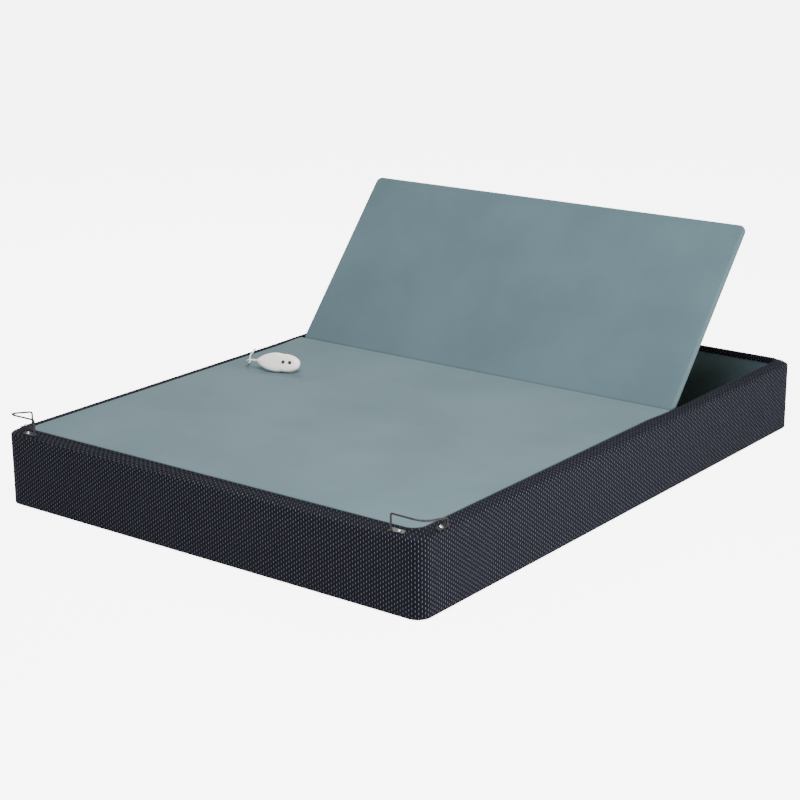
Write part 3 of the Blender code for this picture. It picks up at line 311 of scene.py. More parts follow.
def woven(add, cloth, threads):
    """Sine across times sine along: high where one thread crosses over another."""
    stretched = add("ShaderNodeMapping", None, Vector=cloth, Scale=(threads, threads, 1.0)).outputs[0]
    parts = add("ShaderNodeSeparateXYZ", None, Vector=stretched).outputs
    return product(add, maths(add, "SINE", parts[0]), maths(add, "SINE", parts[1]))


def from_middle(add, value):
    """How far a value's fraction is from a half: 0 in the middle of a cell and 0.5 at its edge."""
    return maths(add, "ABSOLUTE", maths(add, "SUBTRACT", maths(add, "FRACT", value), 0.5))


def smooth_step(add, value, low, high, out_low=0.0, out_high=1.0):
    """Runs smoothly from out_low to out_high as the value goes from low to high."""
    node = add("ShaderNodeMapRange", {"interpolation_type": "SMOOTHSTEP"}, i0=value)
    for socket, number in zip(node.inputs[1:5], (low, high, out_low, out_high)):
        socket.default_value = number
    return node.outputs[0]


def blend_colours(add, share, one, two):
    """The first colour where share is 0, the second where it is 1; each may be linked."""
    node = add("ShaderNodeMix", {"data_type": "RGBA"})
    for name, value in (("A", one), ("B", two)):
        socket = next(s for s in node.inputs if s.name == name and s.type == "RGBA")
        if hasattr(value, "is_output"):
            node.id_data.links.new(value, socket)
        else:
            socket.default_value = (*value, 1)
    if hasattr(share, "is_output"):
        node.id_data.links.new(share, node.inputs[0])
    else:
        node.inputs[0].default_value = share
    return next(s for s in node.outputs if s.type == "RGBA")


def noise(add, vector, scale, detail=3.0):
    """A noise value at this many cells to the metre."""
    node = add("ShaderNodeTexNoise", None, Vector=vector, Scale=scale, Detail=detail)
    return node.outputs["Fac"]


def finish_bump(add, tree, shader, height, distance, strength=1.0):
    """Lets a height, in metres at its full distance, tilt the surface's shading."""
    bump = add("ShaderNodeBump", None, Height=height, Strength=strength, Distance=distance)
    tree.links.new(bump.outputs[0], shader.inputs["Normal"])


# %% [markdown]
# ### Border cloth
# The border is a heavy woven cloth, almost black with a blue cast. Short pale threads stand in columns, and
# every other column is moved down by half a step. Dividing the map by the step and keeping the fraction
# makes the same small cell everywhere; a thread is where both fractions are near the cell's middle.

# %% Border cloth
COLUMN_STEP = 0.0090
ROW_STEP = 0.0130


def border_cloth():
    """Dark ground with pale threads; on the rim, whose attribute says where it is, painted shade darkens the
    ground and fades the threads.
    """
    material, shader, add, tree = start_material("border_cloth", (0.012, 0.013, 0.020), 0.82)
    cloth = add("ShaderNodeUVMap", {"uv_map": "cloth"}).outputs[0]
    parts = add("ShaderNodeSeparateXYZ", None, Vector=cloth)
    column = maths(add, "DIVIDE", parts.outputs[0], COLUMN_STEP)
    odd = maths(add, "FLOORED_MODULO", maths(add, "FLOOR", column), 2.0)
    row = maths(add, "ADD", maths(add, "DIVIDE", parts.outputs[1], ROW_STEP), product(add, odd, 0.5))
    across = smooth_step(add, from_middle(add, column), 0.05, 0.12, 1, 0)
    down = smooth_step(add, from_middle(add, row), 0.17, 0.30, 1, 0)
    thread = product(add, across, down)
    crossing = woven(add, cloth, 1400.0)
    patchy = noise(add, cloth, 9.0)
    ground = blend_colours(add, patchy, (0.0016, 0.0017, 0.0034), (0.0030, 0.0032, 0.0066))
    ground = blend_colours(add, smooth_step(add, crossing, -0.6, 0.8), ground, (0.0056, 0.0060, 0.0110))
    rim_shade = add("ShaderNodeAttribute", {"attribute_name": "rim"}).outputs["Fac"]
    # Painted shade: on the rim the ground is blended towards a darker colour.
    ground = blend_colours(add, product(add, rim_shade, 0.35), ground, (0.0018, 0.0015, 0.0032))
    # Painted shade: the threads on the rim are drawn fainter.
    seen = product(add, thread, smooth_step(add, rim_shade, 0.0, 1.0, 1.0, 0.55))
    uneven = smooth_step(add, noise(add, cloth, 160.0), 0.30, 0.70, 0.55, 1.0)
    colour = blend_colours(add, product(add, seen, uneven), ground, (0.150, 0.165, 0.215))
    tree.links.new(colour, shader.inputs["Base Color"])
    shader.inputs["Sheen Weight"].default_value = 0.03
    shader.inputs["Sheen Roughness"].default_value = 0.45
    shader.inputs["Sheen Tint"].default_value = (0.55, 0.60, 0.85, 1)
    shader.inputs["Specular IOR Level"].default_value = 0.12
    height = maths(add, "ADD", product(add, crossing, 0.25), thread)
    finish_bump(add, tree, shader, height, 0.0004, 0.7)
    return material


# %% [markdown]
# ### Deck cloth
# The deck and the panel wear a grey-green cloth with a short nap. A fine knit of tiny bumps breaks up the
# light, and two slow noises shade it where hands have brushed the nap one way or the other.

# %% Deck cloth
def nap_cloth(name, light, dark, dots=1500.0):
    """Two close shades blended by slow and fine noise, over a fine knit."""
    material, shader, add, tree = start_material(name, light, 0.88)
    cloth = add("ShaderNodeUVMap", {"uv_map": "cloth"}).outputs[0]
    loops = woven(add, cloth, dots)
    slow = noise(add, cloth, 3.2, 4.0)
    fine = noise(add, cloth, 420.0, 2.0)
    brushed = maths(add, "ADD", product(add, slow, 0.6), product(add, fine, 0.4))
    colour = blend_colours(add, smooth_step(add, brushed, 0.36, 0.64), dark, light)
    colour = blend_colours(add, smooth_step(add, loops, 0.2, 1.0, 0.0, 0.16), colour, dark)
    tree.links.new(colour, shader.inputs["Base Color"])
    shader.inputs["Sheen Weight"].default_value = 0.08
    shader.inputs["Sheen Roughness"].default_value = 0.6
    shader.inputs["Specular IOR Level"].default_value = 0.2
    height = maths(add, "ADD", product(add, loops, 0.5), fine)
    finish_bump(add, tree, shader, height, 0.00022, 0.5)
    return material


# %% [markdown]
# ### Wood, steel, plastic and rubber
# Wood is a set of rings stretched along the board and bent by noise. Steel is a nearly even colour with fine
# scratches in its roughness. Moulded plastic and rubber have a grain that only shows in their gloss.

# %% Hard finishes
def wood(name, light, dark, along, ring_scale=9.0, ply=False):
    """Rings stretched along one axis (0, 1 or 2), or thin layers in Z for plywood."""
    material, shader, add, tree = start_material(name, light, 0.62)
    place = add("ShaderNodeTexCoord").outputs["Object"]
    stretch = [1.0, 1.0, 1.0]
    stretch[along] = 0.06
    grain = add("ShaderNodeMapping", None, Vector=place, Scale=tuple(stretch)).outputs[0]
    rings = add(
        "ShaderNodeTexWave", {"wave_type": "RINGS", "rings_direction": "XYZ"[along]}, Vector=grain,
        Scale=ring_scale, Distortion=5.0, Detail=3.0,
    ).outputs["Fac"]
    pores = noise(add, grain, 260.0)
    share = maths(add, "ADD", product(add, rings, 0.55), product(add, pores, 0.45))
    colour = blend_colours(add, share, light, dark)
    if ply:
        height = add("ShaderNodeSeparateXYZ", None, Vector=place).outputs[2]
        layer = maths(add, "SINE", product(add, height, 2600.0))
        colour = blend_colours(add, smooth_step(add, layer, -0.2, 0.4, 0.0, 0.25), colour, dark)
    tree.links.new(colour, shader.inputs["Base Color"])
    tree.links.new(smooth_step(add, pores, 0.3, 0.7, 0.55, 0.75), shader.inputs["Roughness"])
    finish_bump(add, tree, shader, share, 0.0004, 0.4)
    return material


def steel(name, colour, rough, metallic, grain=900.0, bump=0.00005):
    """A nearly even colour with worn lighter places, and speckles in its roughness."""
    material, shader, add, tree = start_material(name, colour, rough, metallic)
    place = add("ShaderNodeTexCoord").outputs["Object"]
    speckle = noise(add, place, grain)
    worn = noise(add, place, 28.0, 5.0)
    lighter = tuple(min(1.0, c * 1.35 + 0.006) for c in colour)
    shade = blend_colours(add, smooth_step(add, worn, 0.42, 0.72, 0.0, 0.6), colour, lighter)
    tree.links.new(shade, shader.inputs["Base Color"])
    uneven = smooth_step(add, speckle, 0.25, 0.75, rough * 0.8, rough * 1.25)
    tree.links.new(uneven, shader.inputs["Roughness"])
    finish_bump(add, tree, shader, speckle, bump, 0.5)
    return material


def moulded(name, colour, rough, grain=1600.0, bump=0.00003, coat=0.0):
    """An even colour a little darker in places, and a fine grain in its gloss."""
    material, shader, add, tree = start_material(name, colour, rough)
    place = add("ShaderNodeTexCoord").outputs["Object"]
    skin = noise(add, place, grain, 2.0)
    cloudy = noise(add, place, 14.0)
    darker = tuple(c * 0.90 for c in colour)
    shade = blend_colours(add, smooth_step(add, cloudy, 0.35, 0.65, 0.0, 0.5), colour, darker)
    tree.links.new(shade, shader.inputs["Base Color"])
    tree.links.new(smooth_step(add, skin, 0.3, 0.7, rough * 0.88, rough * 1.15), shader.inputs["Roughness"])
    shader.inputs["Coat Weight"].default_value = coat
    finish_bump(add, tree, shader, skin, bump, 0.4)
    return material


# %% The finishes of this base
SAGE = (0.089, 0.144, 0.164)
SAGE_DARK = (0.074, 0.122, 0.138)
finishes = {
    "border_cloth": border_cloth(),
    "deck_cloth": nap_cloth("deck_cloth", SAGE, SAGE_DARK),
    "dust_cloth": nap_cloth("dust_cloth", (0.018, 0.018, 0.020), (0.010, 0.010, 0.011), 700.0),
    "pine": wood("pine", (0.62, 0.42, 0.22), (0.40, 0.23, 0.10), 1),
    "plywood": wood("plywood", (0.66, 0.49, 0.29), (0.47, 0.31, 0.16), 0, 5.0, ply=True),
    "black_steel": steel("black_steel", (0.012, 0.012, 0.013), 0.42, 0.0),
    "zinc": steel("zinc", (0.56, 0.56, 0.54), 0.34, 1.0),
    "bright_steel": steel("bright_steel", (0.78, 0.78, 0.77), 0.16, 1.0, 400.0, 0.00001),
    "grey_plastic": moulded("grey_plastic", (0.090, 0.092, 0.098), 0.55),
    "black_plastic": moulded("black_plastic", (0.014, 0.014, 0.016), 0.48),
    "white_plastic": moulded("white_plastic", (0.97, 0.925, 0.89), 0.30, coat=0.25),
    "white_cord": moulded("white_cord", (0.84, 0.82, 0.79), 0.50),
    "black_rubber": moulded("black_rubber", (0.016, 0.016, 0.016), 0.75),
}
slot_of = {row["node"]: row["material_slot"] for row in frame["record"]["subparts"]}
for name, node in nodes.items():
    for place in range(max(len(node.material_slots), 1)):
        if len(node.material_slots) <= place:
            node.data.materials.append(None)
        node.material_slots[place].material = finishes[slot_of[name]]
print(len(finishes), "finishes on", len(nodes), "CAD nodes")

# %% [markdown]
# ## Handset cord
# The cord leaves the handset's tail, bends back over the rim and drops to the floor behind the left side.
# The length that isn't in use is wound in a flat round coil: three turns inwards on the floor and a little
# over three outwards on top of them, a cord's width apart. It then goes back into the box through a grommet.
# The route is a list of places joined by one smooth curve, and the coil is a spiral of one formula.

# %% Cord
CORD_DIAMETER = 0.005
COIL_CENTRE = np.array([-0.8300, 0.1975])
COIL_RADII = (0.0350, 0.0200)
COIL_TURNS = 3
FROM_HANDSET = [
    (-0.5975, -0.1116, 0.2608),
    (-0.6080, -0.1140, 0.2585),
    (-0.6200, -0.1085, 0.2500),
    (-0.6310, -0.0900, 0.2395),
    (-0.6450, -0.0660, 0.2335),
    (-0.6620, -0.0440, 0.2328),
    (-0.6820, -0.0220, 0.2328),
    (-0.7020, 0.0040, 0.2335),
    (-0.7180, 0.0360, 0.2350),
    (-0.7360, 0.0640, 0.2340),
    (-0.7520, 0.0820, 0.2290),
    (-0.7640, 0.0940, 0.2200),
    (-0.7665, 0.1010, 0.2030),
    (-0.7660, 0.1080, 0.1700),
    (-0.7660, 0.1180, 0.1200),
    (-0.7670, 0.1320, 0.0700),
    (-0.7700, 0.1440, 0.0350),
    (-0.7780, 0.1500, 0.0120),
    (-0.7900, 0.1530, 0.0040),
    (-0.8080, 0.1545, 0.0030),
    (-0.8280, 0.1555, 0.0030),
]
TO_GROMMET = [
    (-0.8290, 0.2395, 0.0080),
    (-0.8120, 0.2402, 0.0085),
    (-0.7985, 0.2435, 0.0120),
    (-0.7880, 0.2500, 0.0205),
    (-0.7785, 0.2585, 0.0315),
    (-0.7690, 0.2620, 0.0360),
    (-0.7560, 0.2620, 0.0360),
]


def catmull_rom(points, per_span):
    """A smooth curve through the points: each span is a cubic whose slope at a point is half the chord
    between that point's two neighbours."""
    points = np.asarray(points, float)
    padded = np.concatenate([2 * points[:1] - points[1:2], points, 2 * points[-1:] - points[-2:-1]])
    before, a, b, after = padded[:-3], padded[1:-2], padded[2:-1], padded[3:]
    t = np.linspace(0, 1, per_span, endpoint=False)[None, :, None]
    before, a, b, after = (row[:, None] for row in (before, a, b, after))
    curve = 0.5 * (
        2 * a + (b - before) * t + (2 * before - 5 * a + 4 * b - after) * t ** 2
        + (3 * a - before - 3 * b + after) * t ** 3
    )
    return np.concatenate([curve.reshape(-1, 3), points[-1:]])


def coil_path(centre, radii, turns, start_angle, end_angle, per_turn=40):
    """Clockwise spiral: inwards on the floor, a short climb, and outwards on top of the first layer."""
    total = turns * 2 * math.pi - 0.35
    count = int(per_turn * turns)
    share = np.linspace(0, 1, count)
    outer, inner = radii
    low = 0.5 * CORD_DIAMETER + TOUCH
    high = low + 0.97 * CORD_DIAMETER
    extra = (start_angle - end_angle) % (2 * math.pi)
    angles = start_angle - np.concatenate([share * total, total + 0.35 + share * (total - 0.35 + extra)])
    radius = np.concatenate([outer + (inner - outer) * share, inner + (outer - inner) * share])
    layer = np.concatenate([np.full(count, low), np.full(count, high)])
    climb = np.abs(np.arange(2 * count) - count) < 3
    layer[climb] = np.linspace(low, high, climb.sum())
    return np.stack([centre[0] + radius * np.cos(angles), centre[1] + radius * np.sin(angles), layer], axis=1)


coil = coil_path(COIL_CENTRE, COIL_RADII, COIL_TURNS, -math.pi * 0.60, math.pi * 0.42)
rough_route = np.concatenate([catmull_rom(FROM_HANDSET[:-1], 6), coil, catmull_rom(TO_GROMMET[1:], 6)])
cord_path = catmull_rom(rough_route[::3], 3)
cord = tube("handset_lead", cord_path, CORD_DIAMETER / 2, 12)
dress(cord, None, "white_cord", "handset_cord", "cord_coil", "cord_end")
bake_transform(cord)

# %% [markdown]
# ## Border
# The border is one band of cloth over felt. Its section goes from the hem up the side, turns over the top
# edge with a soft fold and runs in along the rim to the deck. The band is that section carried round the
# box: at each station the section is stretched between an outer point and the rim's inner point, so the
# corners round themselves and the rim narrows by itself beside the head bay.

# %% Plan of the border
def corner_points(side_x, side_y, inset, radius, start, count):
    """A quarter circle round one upright corner, drawn in from the outside by the inset."""
    angles = np.radians(np.linspace(start, start + 90, count))
    centre = np.array([side_x * (HALF_W - inset - radius), side_y * (HALF_L - inset - radius)])
    return centre + radius * np.stack([np.cos(angles), np.sin(angles)], axis=1)


def rim_width(y):
    """The rim's width beside the deck: it eases from the wide value to the narrow one along the flare."""
    t = np.clip((y - FLARE[0]) / (FLARE[1] - FLARE[0]), 0, 1)
    return RIM_WIDTH + (BAY_RIM_WIDTH - RIM_WIDTH) * t * t * (3 - 2 * t)


def ring_of_corners(insets, radii, corner_count, long_count, short_count, flared=False):
    """Closed plan, anticlockwise from the foot's left corner: four quarter circles and four straight runs."""
    corners = [
        corner_points(-1, -1, insets[0], radii[0], 180, corner_count),
        corner_points(1, -1, insets[0], radii[0], 270, corner_count),
        corner_points(1, 1, insets[1], radii[1], 0, corner_count),
        corner_points(-1, 1, insets[1], radii[1], 90, corner_count),
    ]
    rows = []
    for i, count in enumerate((short_count, long_count, short_count, long_count)):
        start, end = corners[i][-1], corners[(i + 1) % 4][0]
        run = start + (end - start) * np.linspace(0, 1, count + 2)[1:-1, None]
        if flared and i in (1, 3):
            run[:, 0] = np.sign(run[:, 0]) * (HALF_W - rim_width(run[:, 1]))
        rows += [corners[i], run]
    rows.append(corners[0][:1])
    return np.concatenate(rows)


RUNS = dict(corner_count=14, long_count=120, short_count=70)
outer_plan = ring_of_corners((0, 0), (OUTER_CORNER, OUTER_CORNER), **RUNS)
wall_plan = ring_of_corners((BORDER_THICKNESS,) * 2, (WALL_CORNER,) * 2, **RUNS)
rim_plan = ring_of_corners((RIM_WIDTH, BAY_RIM_WIDTH), (RIM_CORNER, BAY_CORNER), **RUNS, flared=True)
around_border = lengths_along(outer_plan)
print("border is", round(around_border[-1], 3), "m round")


# %% Border band
RIM_ROLL = 0.0030                  # the padding makes a low roll along the rim's inner edge
ROLL_START = 0.58


def border_section():
    """Rows of (how far in as a share of the rim, extra inset in metres, height, on the rim or not)."""
    turn = np.radians(np.linspace(0, 80, 8))
    side = np.linspace(HEM_Z + 0.003, FOLD_Z - FOLD_RADIUS, 16)
    rows = [(0, 0.0022, HEM_Z, 0), (0, 0.0006, HEM_Z + 0.0008, 0)]
    rows += [(0, 0, z, 0) for z in side]
    for a in turn[1:]:
        rows.append((0, FOLD_RADIUS * (1 - math.cos(a)), FOLD_Z - FOLD_RADIUS * (1 - math.sin(a)), a / 1.4))
    for share in np.linspace(0.28, 0.96, 18):
        roll = max(0.0, math.sin(math.pi * (share - ROLL_START) / (1 - ROLL_START))) ** 1.3
        roll = RIM_ROLL * roll if share > ROLL_START else 0.0
        rows.append((share, 0, FOLD_Z + (DECK_Z - FOLD_Z) * math.sin(share * math.pi / 2) + roll, 1))
    rows += [(0.988, 0, DECK_Z - 0.0008, 1), (1, 0, DECK_Z - 0.0028, 1), (1, 0, FLANGE_BOTTOM, 1)]
    return np.array(rows)


def cloth_ripple(u, v):
    """Slow waves that felt under cloth shows, never more than half a millimetre."""
    waves = np.sin(11.3 * u + 3.1 * np.sin(2.3 * u)) * np.sin(14 * v + 1.7 * np.sin(5.1 * u))
    return 0.00025 * (1 + waves)


section = border_section()
inward = rim_plan - outer_plan
reach = np.linalg.norm(inward, axis=1)[:, None]
inward = inward / reach
height = section[:, 2]
on_side = (section[:, 0] == 0) & (section[:, 1] == 0)
set_in = section[None, :, 0] * reach + section[None, :, 1]
set_in = set_in + on_side[None] * cloth_ripple(around_border[:, None], height[None])
top = np.empty((len(outer_plan), len(section), 3))
top[..., :2] = outer_plan[:, None] + inward[:, None] * set_in[..., None]
top[..., 2] = height
inside = np.empty((len(outer_plan), 3, 3))
inside[:, :2, :2] = wall_plan[:, None]
inside[:, 0, 2] = FLANGE_BOTTOM
inside[:, 1, 2] = HEM_Z
inside[:, 2] = top[:, 0]
band = np.concatenate([top, inside], axis=1)
up_the_cloth = lengths_along(np.concatenate([band[200], band[200][:1]])[:-1])
mapped = np.stack(np.broadcast_arrays(around_border[:, None], up_the_cloth[None]), axis=-1)
border = surface("border_cover", band, mapped)
sharpen(border, 60)

# The cloth on the rim is seen along its nap and looks darker; the material paints that as shade, so each point
# says whether it is on the rim.
flat = np.array([vertex.co for vertex in border.data.vertices])
rim_shade_share = border.data.attributes.new("rim", "FLOAT", "POINT")
rim_shade_share.data.foreach_set("value", np.clip((flat[:, 2] - FOLD_Z + 0.001) / 0.004, 0, 1))
dress(
    border, "base", "border_cloth",
    "border_foot", "border_right", "border_head", "border_left",
)

# %% [markdown]
# ## Padded covers
# The deck and the head panel are boards in a thin padded cover. Each cover is a stack of rings, and a ring
# is the cover's outline drawn in by some amount and put at some height: out from the middle of the top,
# round the edge, under it, and up into the pocket that holds the board. The hinge edge is drawn in further
# than the sides, which is what makes that edge fully round.

# %% Outlines of the two covers
def quarter(centre, radius, start, count=10):
    """A quarter circle anticlockwise from the start angle in degrees."""
    angles = np.radians(np.linspace(start, start + 90, count))
    return np.asarray(centre) + radius * np.stack([np.cos(angles), np.sin(angles)], axis=1)


def straight(start, end, count):
    """Even points between two places, without the places themselves."""
    return start + (np.asarray(end) - start) * np.linspace(0, 1, count + 2)[1:-1, None]


def deck_outline(side, end):
    """Plan of the fixed deck inside the rim, drawn in at its sides and at its hinge end."""
    side = side + TOUCH
    radius = RIM_CORNER - side
    x = HALF_W - RIM_WIDTH - side
    y = -HALF_L + RIM_WIDTH + side
    foot_left = quarter((-x + radius, y + radius), radius, 180)
    foot_right = quarter((x - radius, y + radius), radius, 270)
    hinge_end = DECK_END - end
    right = straight(foot_right[-1], (x, hinge_end - 0.004), 60)
    right[:, 0] = HALF_W - rim_width(right[:, 1]) - side
    soft = quarter((HALF_W - BAY_RIM_WIDTH - side - 0.004, hinge_end - 0.004), 0.004, 0, 5)
    right = np.concatenate([right, soft])
    left = right[::-1] * (-1, 1)
    foot = straight(foot_left[-1], foot_right[0], 60)
    head = straight(right[-1], left[0], 60)
    return np.concatenate([foot_left, foot, foot_right, right, head, left, foot_left[:1]])


HEAD_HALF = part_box("head_pad")[1][0]
HEAD_NEAR = 0.001                    # from the hinge line to the panel's rounded near edge
HEAD_FAR = HALF_L - BAY_RIM_WIDTH - 0.0057 - HINGE[1]
HEAD_CORNERS = (0.014, 0.022)        # at the hinge and at the far end


def head_outline(side, end):
    """Plan of the head panel measured from the hinge line, drawn in at its sides and at its near end."""
    x = HEAD_HALF - side
    near = HEAD_NEAR + end
    far = HEAD_FAR - side
    small, large = (radius - side for radius in HEAD_CORNERS)
    near_left = quarter((-x + small, near + small), small, 180)
    near_right = quarter((x - small, near + small), small, 270)
    far_right = quarter((x - large, far - large), large, 0)
    far_left = quarter((-x + large, far - large), large, 90)
    return np.concatenate([
        near_left, straight(near_left[-1], near_right[0], 60),
        near_right, straight(near_right[-1], far_right[0], 40),
        far_right, straight(far_right[-1], far_left[0], 60),
        far_left, straight(far_left[-1], near_left[0], 40), near_left[:1],
    ])


# %% Cover from stacked rings
BOARD_THICKNESS = 0.012
BOARD_SIDE = 0.007
BOARD_END = 0.015


def soft_top(x, y, depth):
    """Slow swells in the padding that die away at the edge; depth is the distance from the edge."""
    swell = np.sin(5.1 * x + 1.3 * np.sin(3.7 * y)) * np.sin(4.3 * y + 0.9 * np.sin(4.9 * x))
    return (0.0003 * swell + 0.0003) * np.clip(depth / 0.12, 0, 1)


def padded_cover(name, outline, edge, base):
    """Rings of a padded cover from the middle of its top round to the middle of its pocket."""
    half = PANEL_THICKNESS / 2
    middle = outline(0, 0)[:-1].mean(axis=0)
    flat_edge = outline(edge, half)
    rings = []
    for share in np.linspace(0, 1, 34)[:-1] ** 0.8:
        plan = middle + (flat_edge - middle) * share
        depth = (1 - share) * 0.7
        rise = base + PANEL_THICKNESS + soft_top(plan[:, 0], plan[:, 1], depth) - TOUCH
        rings.append(np.column_stack([plan, rise]))
    for turn in np.radians(np.linspace(90, -90, 17)):
        drawn = 1 - math.cos(turn)
        plan = outline(edge * drawn, half * drawn)
        rings.append(np.column_stack([plan, np.full(len(plan), base + half * (1 + math.sin(turn)))]))
    pocket = outline(BOARD_SIDE, BOARD_END)
    ceiling = base + BOARD_THICKNESS + TOUCH
    for share, z in ((1, base), (1, ceiling), (0.5, ceiling), (0, ceiling)):
        plan = middle + (pocket - middle) * share
        rings.append(np.column_stack([plan, np.full(len(plan), z)]))
    grid = np.array(rings)
    return sharpen(surface(name, grid, grid[..., :2] + 2.0), 60)


def raise_with_panel(piece):
    """Turns a piece made flat about the hinge line into the raised place, in its mesh."""
    turn = Matrix.Translation(HINGE.tolist()) @ Matrix.Rotation(HEAD_ANGLE, 4, "X")
    piece.data.transform(turn)
    return piece


deck_cover = padded_cover("deck_cover", deck_outline, 0.0035, PANEL_BOTTOM)
dress(deck_cover, "base", "deck_cloth", "deck_pad")
head_cover = padded_cover("head_cover", head_outline, 0.007, PANEL_BOTTOM - HINGE[2])
dress(raise_with_panel(head_cover), "head", "deck_cloth", "head_pad")

# %% [markdown]
# The cover's cloth is folded over the back of the head board and stapled there, on three sides. The fold is
# a flat strip carried along a U, and the staples are one small bar repeated along its middle.

# %% Turned hem and staples behind the head panel
HEM_INSET = 0.009
HEM_LIFT = 0.0001                    # between the hem and the board
HEM_WIDTH = 0.032
HEM_THICKNESS = 0.0009
STAPLE_PITCH = 0.060
board_back = PANEL_BOTTOM - HINGE[2]


def u_line(inset):
    """The three sides of the panel's back that the hem runs along, square at its two corners."""
    x = HEAD_HALF - inset
    far = HEAD_FAR - inset
    side = np.linspace(0.080, far, 30)
    across = np.linspace(x, -x, 60)
    right = np.column_stack([np.full(30, x), side])
    head = np.column_stack([across, np.full(60, far)])
    return np.concatenate([right[:-1], head, (right * (-1, 1))[::-1][1:]])


hem_rows = []
for inset, drop in (
    (HEM_INSET, HEM_LIFT), (HEM_INSET, HEM_LIFT + HEM_THICKNESS), (HEM_INSET + HEM_WIDTH, HEM_THICKNESS),
    (HEM_INSET + HEM_WIDTH, HEM_LIFT), (HEM_INSET, HEM_LIFT),
):
    line = u_line(inset)
    wave = 0.00012 * np.sin(np.arange(len(line)) * 1.9) if drop > 0.0005 else 0.0
    hem_rows.append(np.column_stack([line, np.full(len(line), board_back - drop) + wave]))
hem_grid = np.array(hem_rows)
hem = surface("head_cover_hem", hem_grid, hem_grid[..., :2] + 2.0)
close_ends(hem)
dress(raise_with_panel(hem), "head", "deck_cloth")

middle_line = u_line(HEM_INSET + HEM_WIDTH * 0.55)
along = lengths_along(middle_line)
spots = np.arange(STAPLE_PITCH / 2, along[-1], STAPLE_PITCH)
staple_at = np.column_stack([np.interp(spots, along, middle_line[:, axis]) for axis in (0, 1)])
ahead_of = np.column_stack([np.interp(spots + 0.002, along, middle_line[:, axis]) for axis in (0, 1)])
heading = unit(ahead_of - staple_at)
across = heading[:, ::-1] * (1, -1)
lean = unit(heading * 0.96 + across * 0.28)
square = lean[:, ::-1] * (1, -1)
BAR = np.array([(x, y, z) for z in (0, 1) for x, y in ((-1, -1), (1, -1), (1, 1), (-1, 1))])
BAR_FACES = np.array([(0, 3, 2, 1), (4, 5, 6, 7), (0, 1, 5, 4), (1, 2, 6, 5), (2, 3, 7, 6), (3, 0, 4, 7)])
corners = np.zeros((len(spots), 8, 3))
corners[..., :2] = staple_at[:, None] + BAR[None, :, :1] * 0.0052 * lean[:, None] + (
    BAR[None, :, 1:2] * 0.0005 * square[:, None]
)
corners[..., 2] = board_back - HEM_THICKNESS - 0.0004 + BAR[None, :, 2] * 0.0006
staple_mesh = bpy.data.meshes.new("hem_staples")
faces = (BAR_FACES[None] + 8 * np.arange(len(spots))[:, None, None]).reshape(-1, 4)
staple_mesh.from_pydata(corners.reshape(-1, 3).tolist(), [], faces.tolist())
staples = linked("hem_staples", staple_mesh)
dress(raise_with_panel(staples), "head", "zinc")

# %% [markdown]
# ## Cloth inside the head bay and under the box
# The same grey-green cloth lines the three walls of the bay, pulled tight enough to show only faint
# upright creases. Under the box a thin black cloth keeps the dust out; it is held along its edges, so it
# bellies very slightly between them.

# %% Bay liner
liner_low, liner_high = np.array(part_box("bay_liner"))
LINER_CORNER = 0.030
LINER_THICKNESS = 0.0016


def liner_wall(offset):
    """U-shaped plan of the lining at this distance inside its outer face."""
    x = liner_high[0] - offset
    y = liner_high[1] - offset
    radius = LINER_CORNER - offset
    right = quarter((x - radius, y - radius), radius, 0)
    left = quarter((-x + radius, y - radius), radius, 90)
    start = np.array([[x, liner_low[1]]])
    end = np.array([[-x, liner_low[1]]])
    return np.concatenate([
        start, straight(start[0], right[0], 50), right, straight(right[-1], left[0], 80), left,
        straight(left[-1], end[0], 50), end,
    ])


outside = liner_wall(0.0)
seen = liner_wall(LINER_THICKNESS)
run = lengths_along(outside)
crease = 0.0003 * np.sin(run * 37 + 2 * np.sin(run * 9))
block_low = np.array(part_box("corner_block_head_right"))[0]
beside_block = (np.abs(outside[:, 0]) > block_low[0] - 0.002) & (outside[:, 1] > block_low[1] - 0.002)
hem_height = np.where(beside_block, liner_low[2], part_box("dust_cover")[1][2] + 0.0012)
toward = unit(seen - outside)
rows = []
shares = np.linspace(0, 1, 12)
for share in shares:
    height = hem_height + (liner_high[2] - hem_height) * share
    rows.append(np.column_stack([seen + toward * (crease * math.sin(math.pi * share))[:, None], height]))
for share in shares[::-1]:
    rows.append(np.column_stack([outside, hem_height + (liner_high[2] - hem_height) * share]))
rows.append(rows[0])
liner_grid = np.array(rows)
climb_map = lengths_along(liner_grid[:, 0])
liner = surface(
    "bay_lining", liner_grid, np.stack(np.broadcast_arrays(run[None], climb_map[:, None]), axis=-1)
)
close_ends(liner)
sharpen(liner, 50)
dress(liner, "base", "deck_cloth", "bay_liner")

# %% Dust cover
dust_high = np.array(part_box("dust_cover"))[1]
DUST_THICKNESS = 0.0008
DUST_SAG = 0.0009


def dust_grid(z, sag):
    """Rings from the middle of the cloth to its edge, bellied down by sag where it is free."""
    plan = ring_of_corners((BORDER_THICKNESS + 2 * TOUCH,) * 2, (WALL_CORNER,) * 2, **RUNS)
    shares = np.linspace(0, 1, 26)[:, None, None]
    grid = plan[None] * shares
    inside = np.clip((1 - shares[..., 0]) / 0.15, 0, 1)
    wave = 0.5 + 0.5 * np.sin(9 * grid[..., 0]) * np.sin(7 * grid[..., 1])
    return np.concatenate([grid, (z - sag * inside * wave)[..., None]], axis=-1)


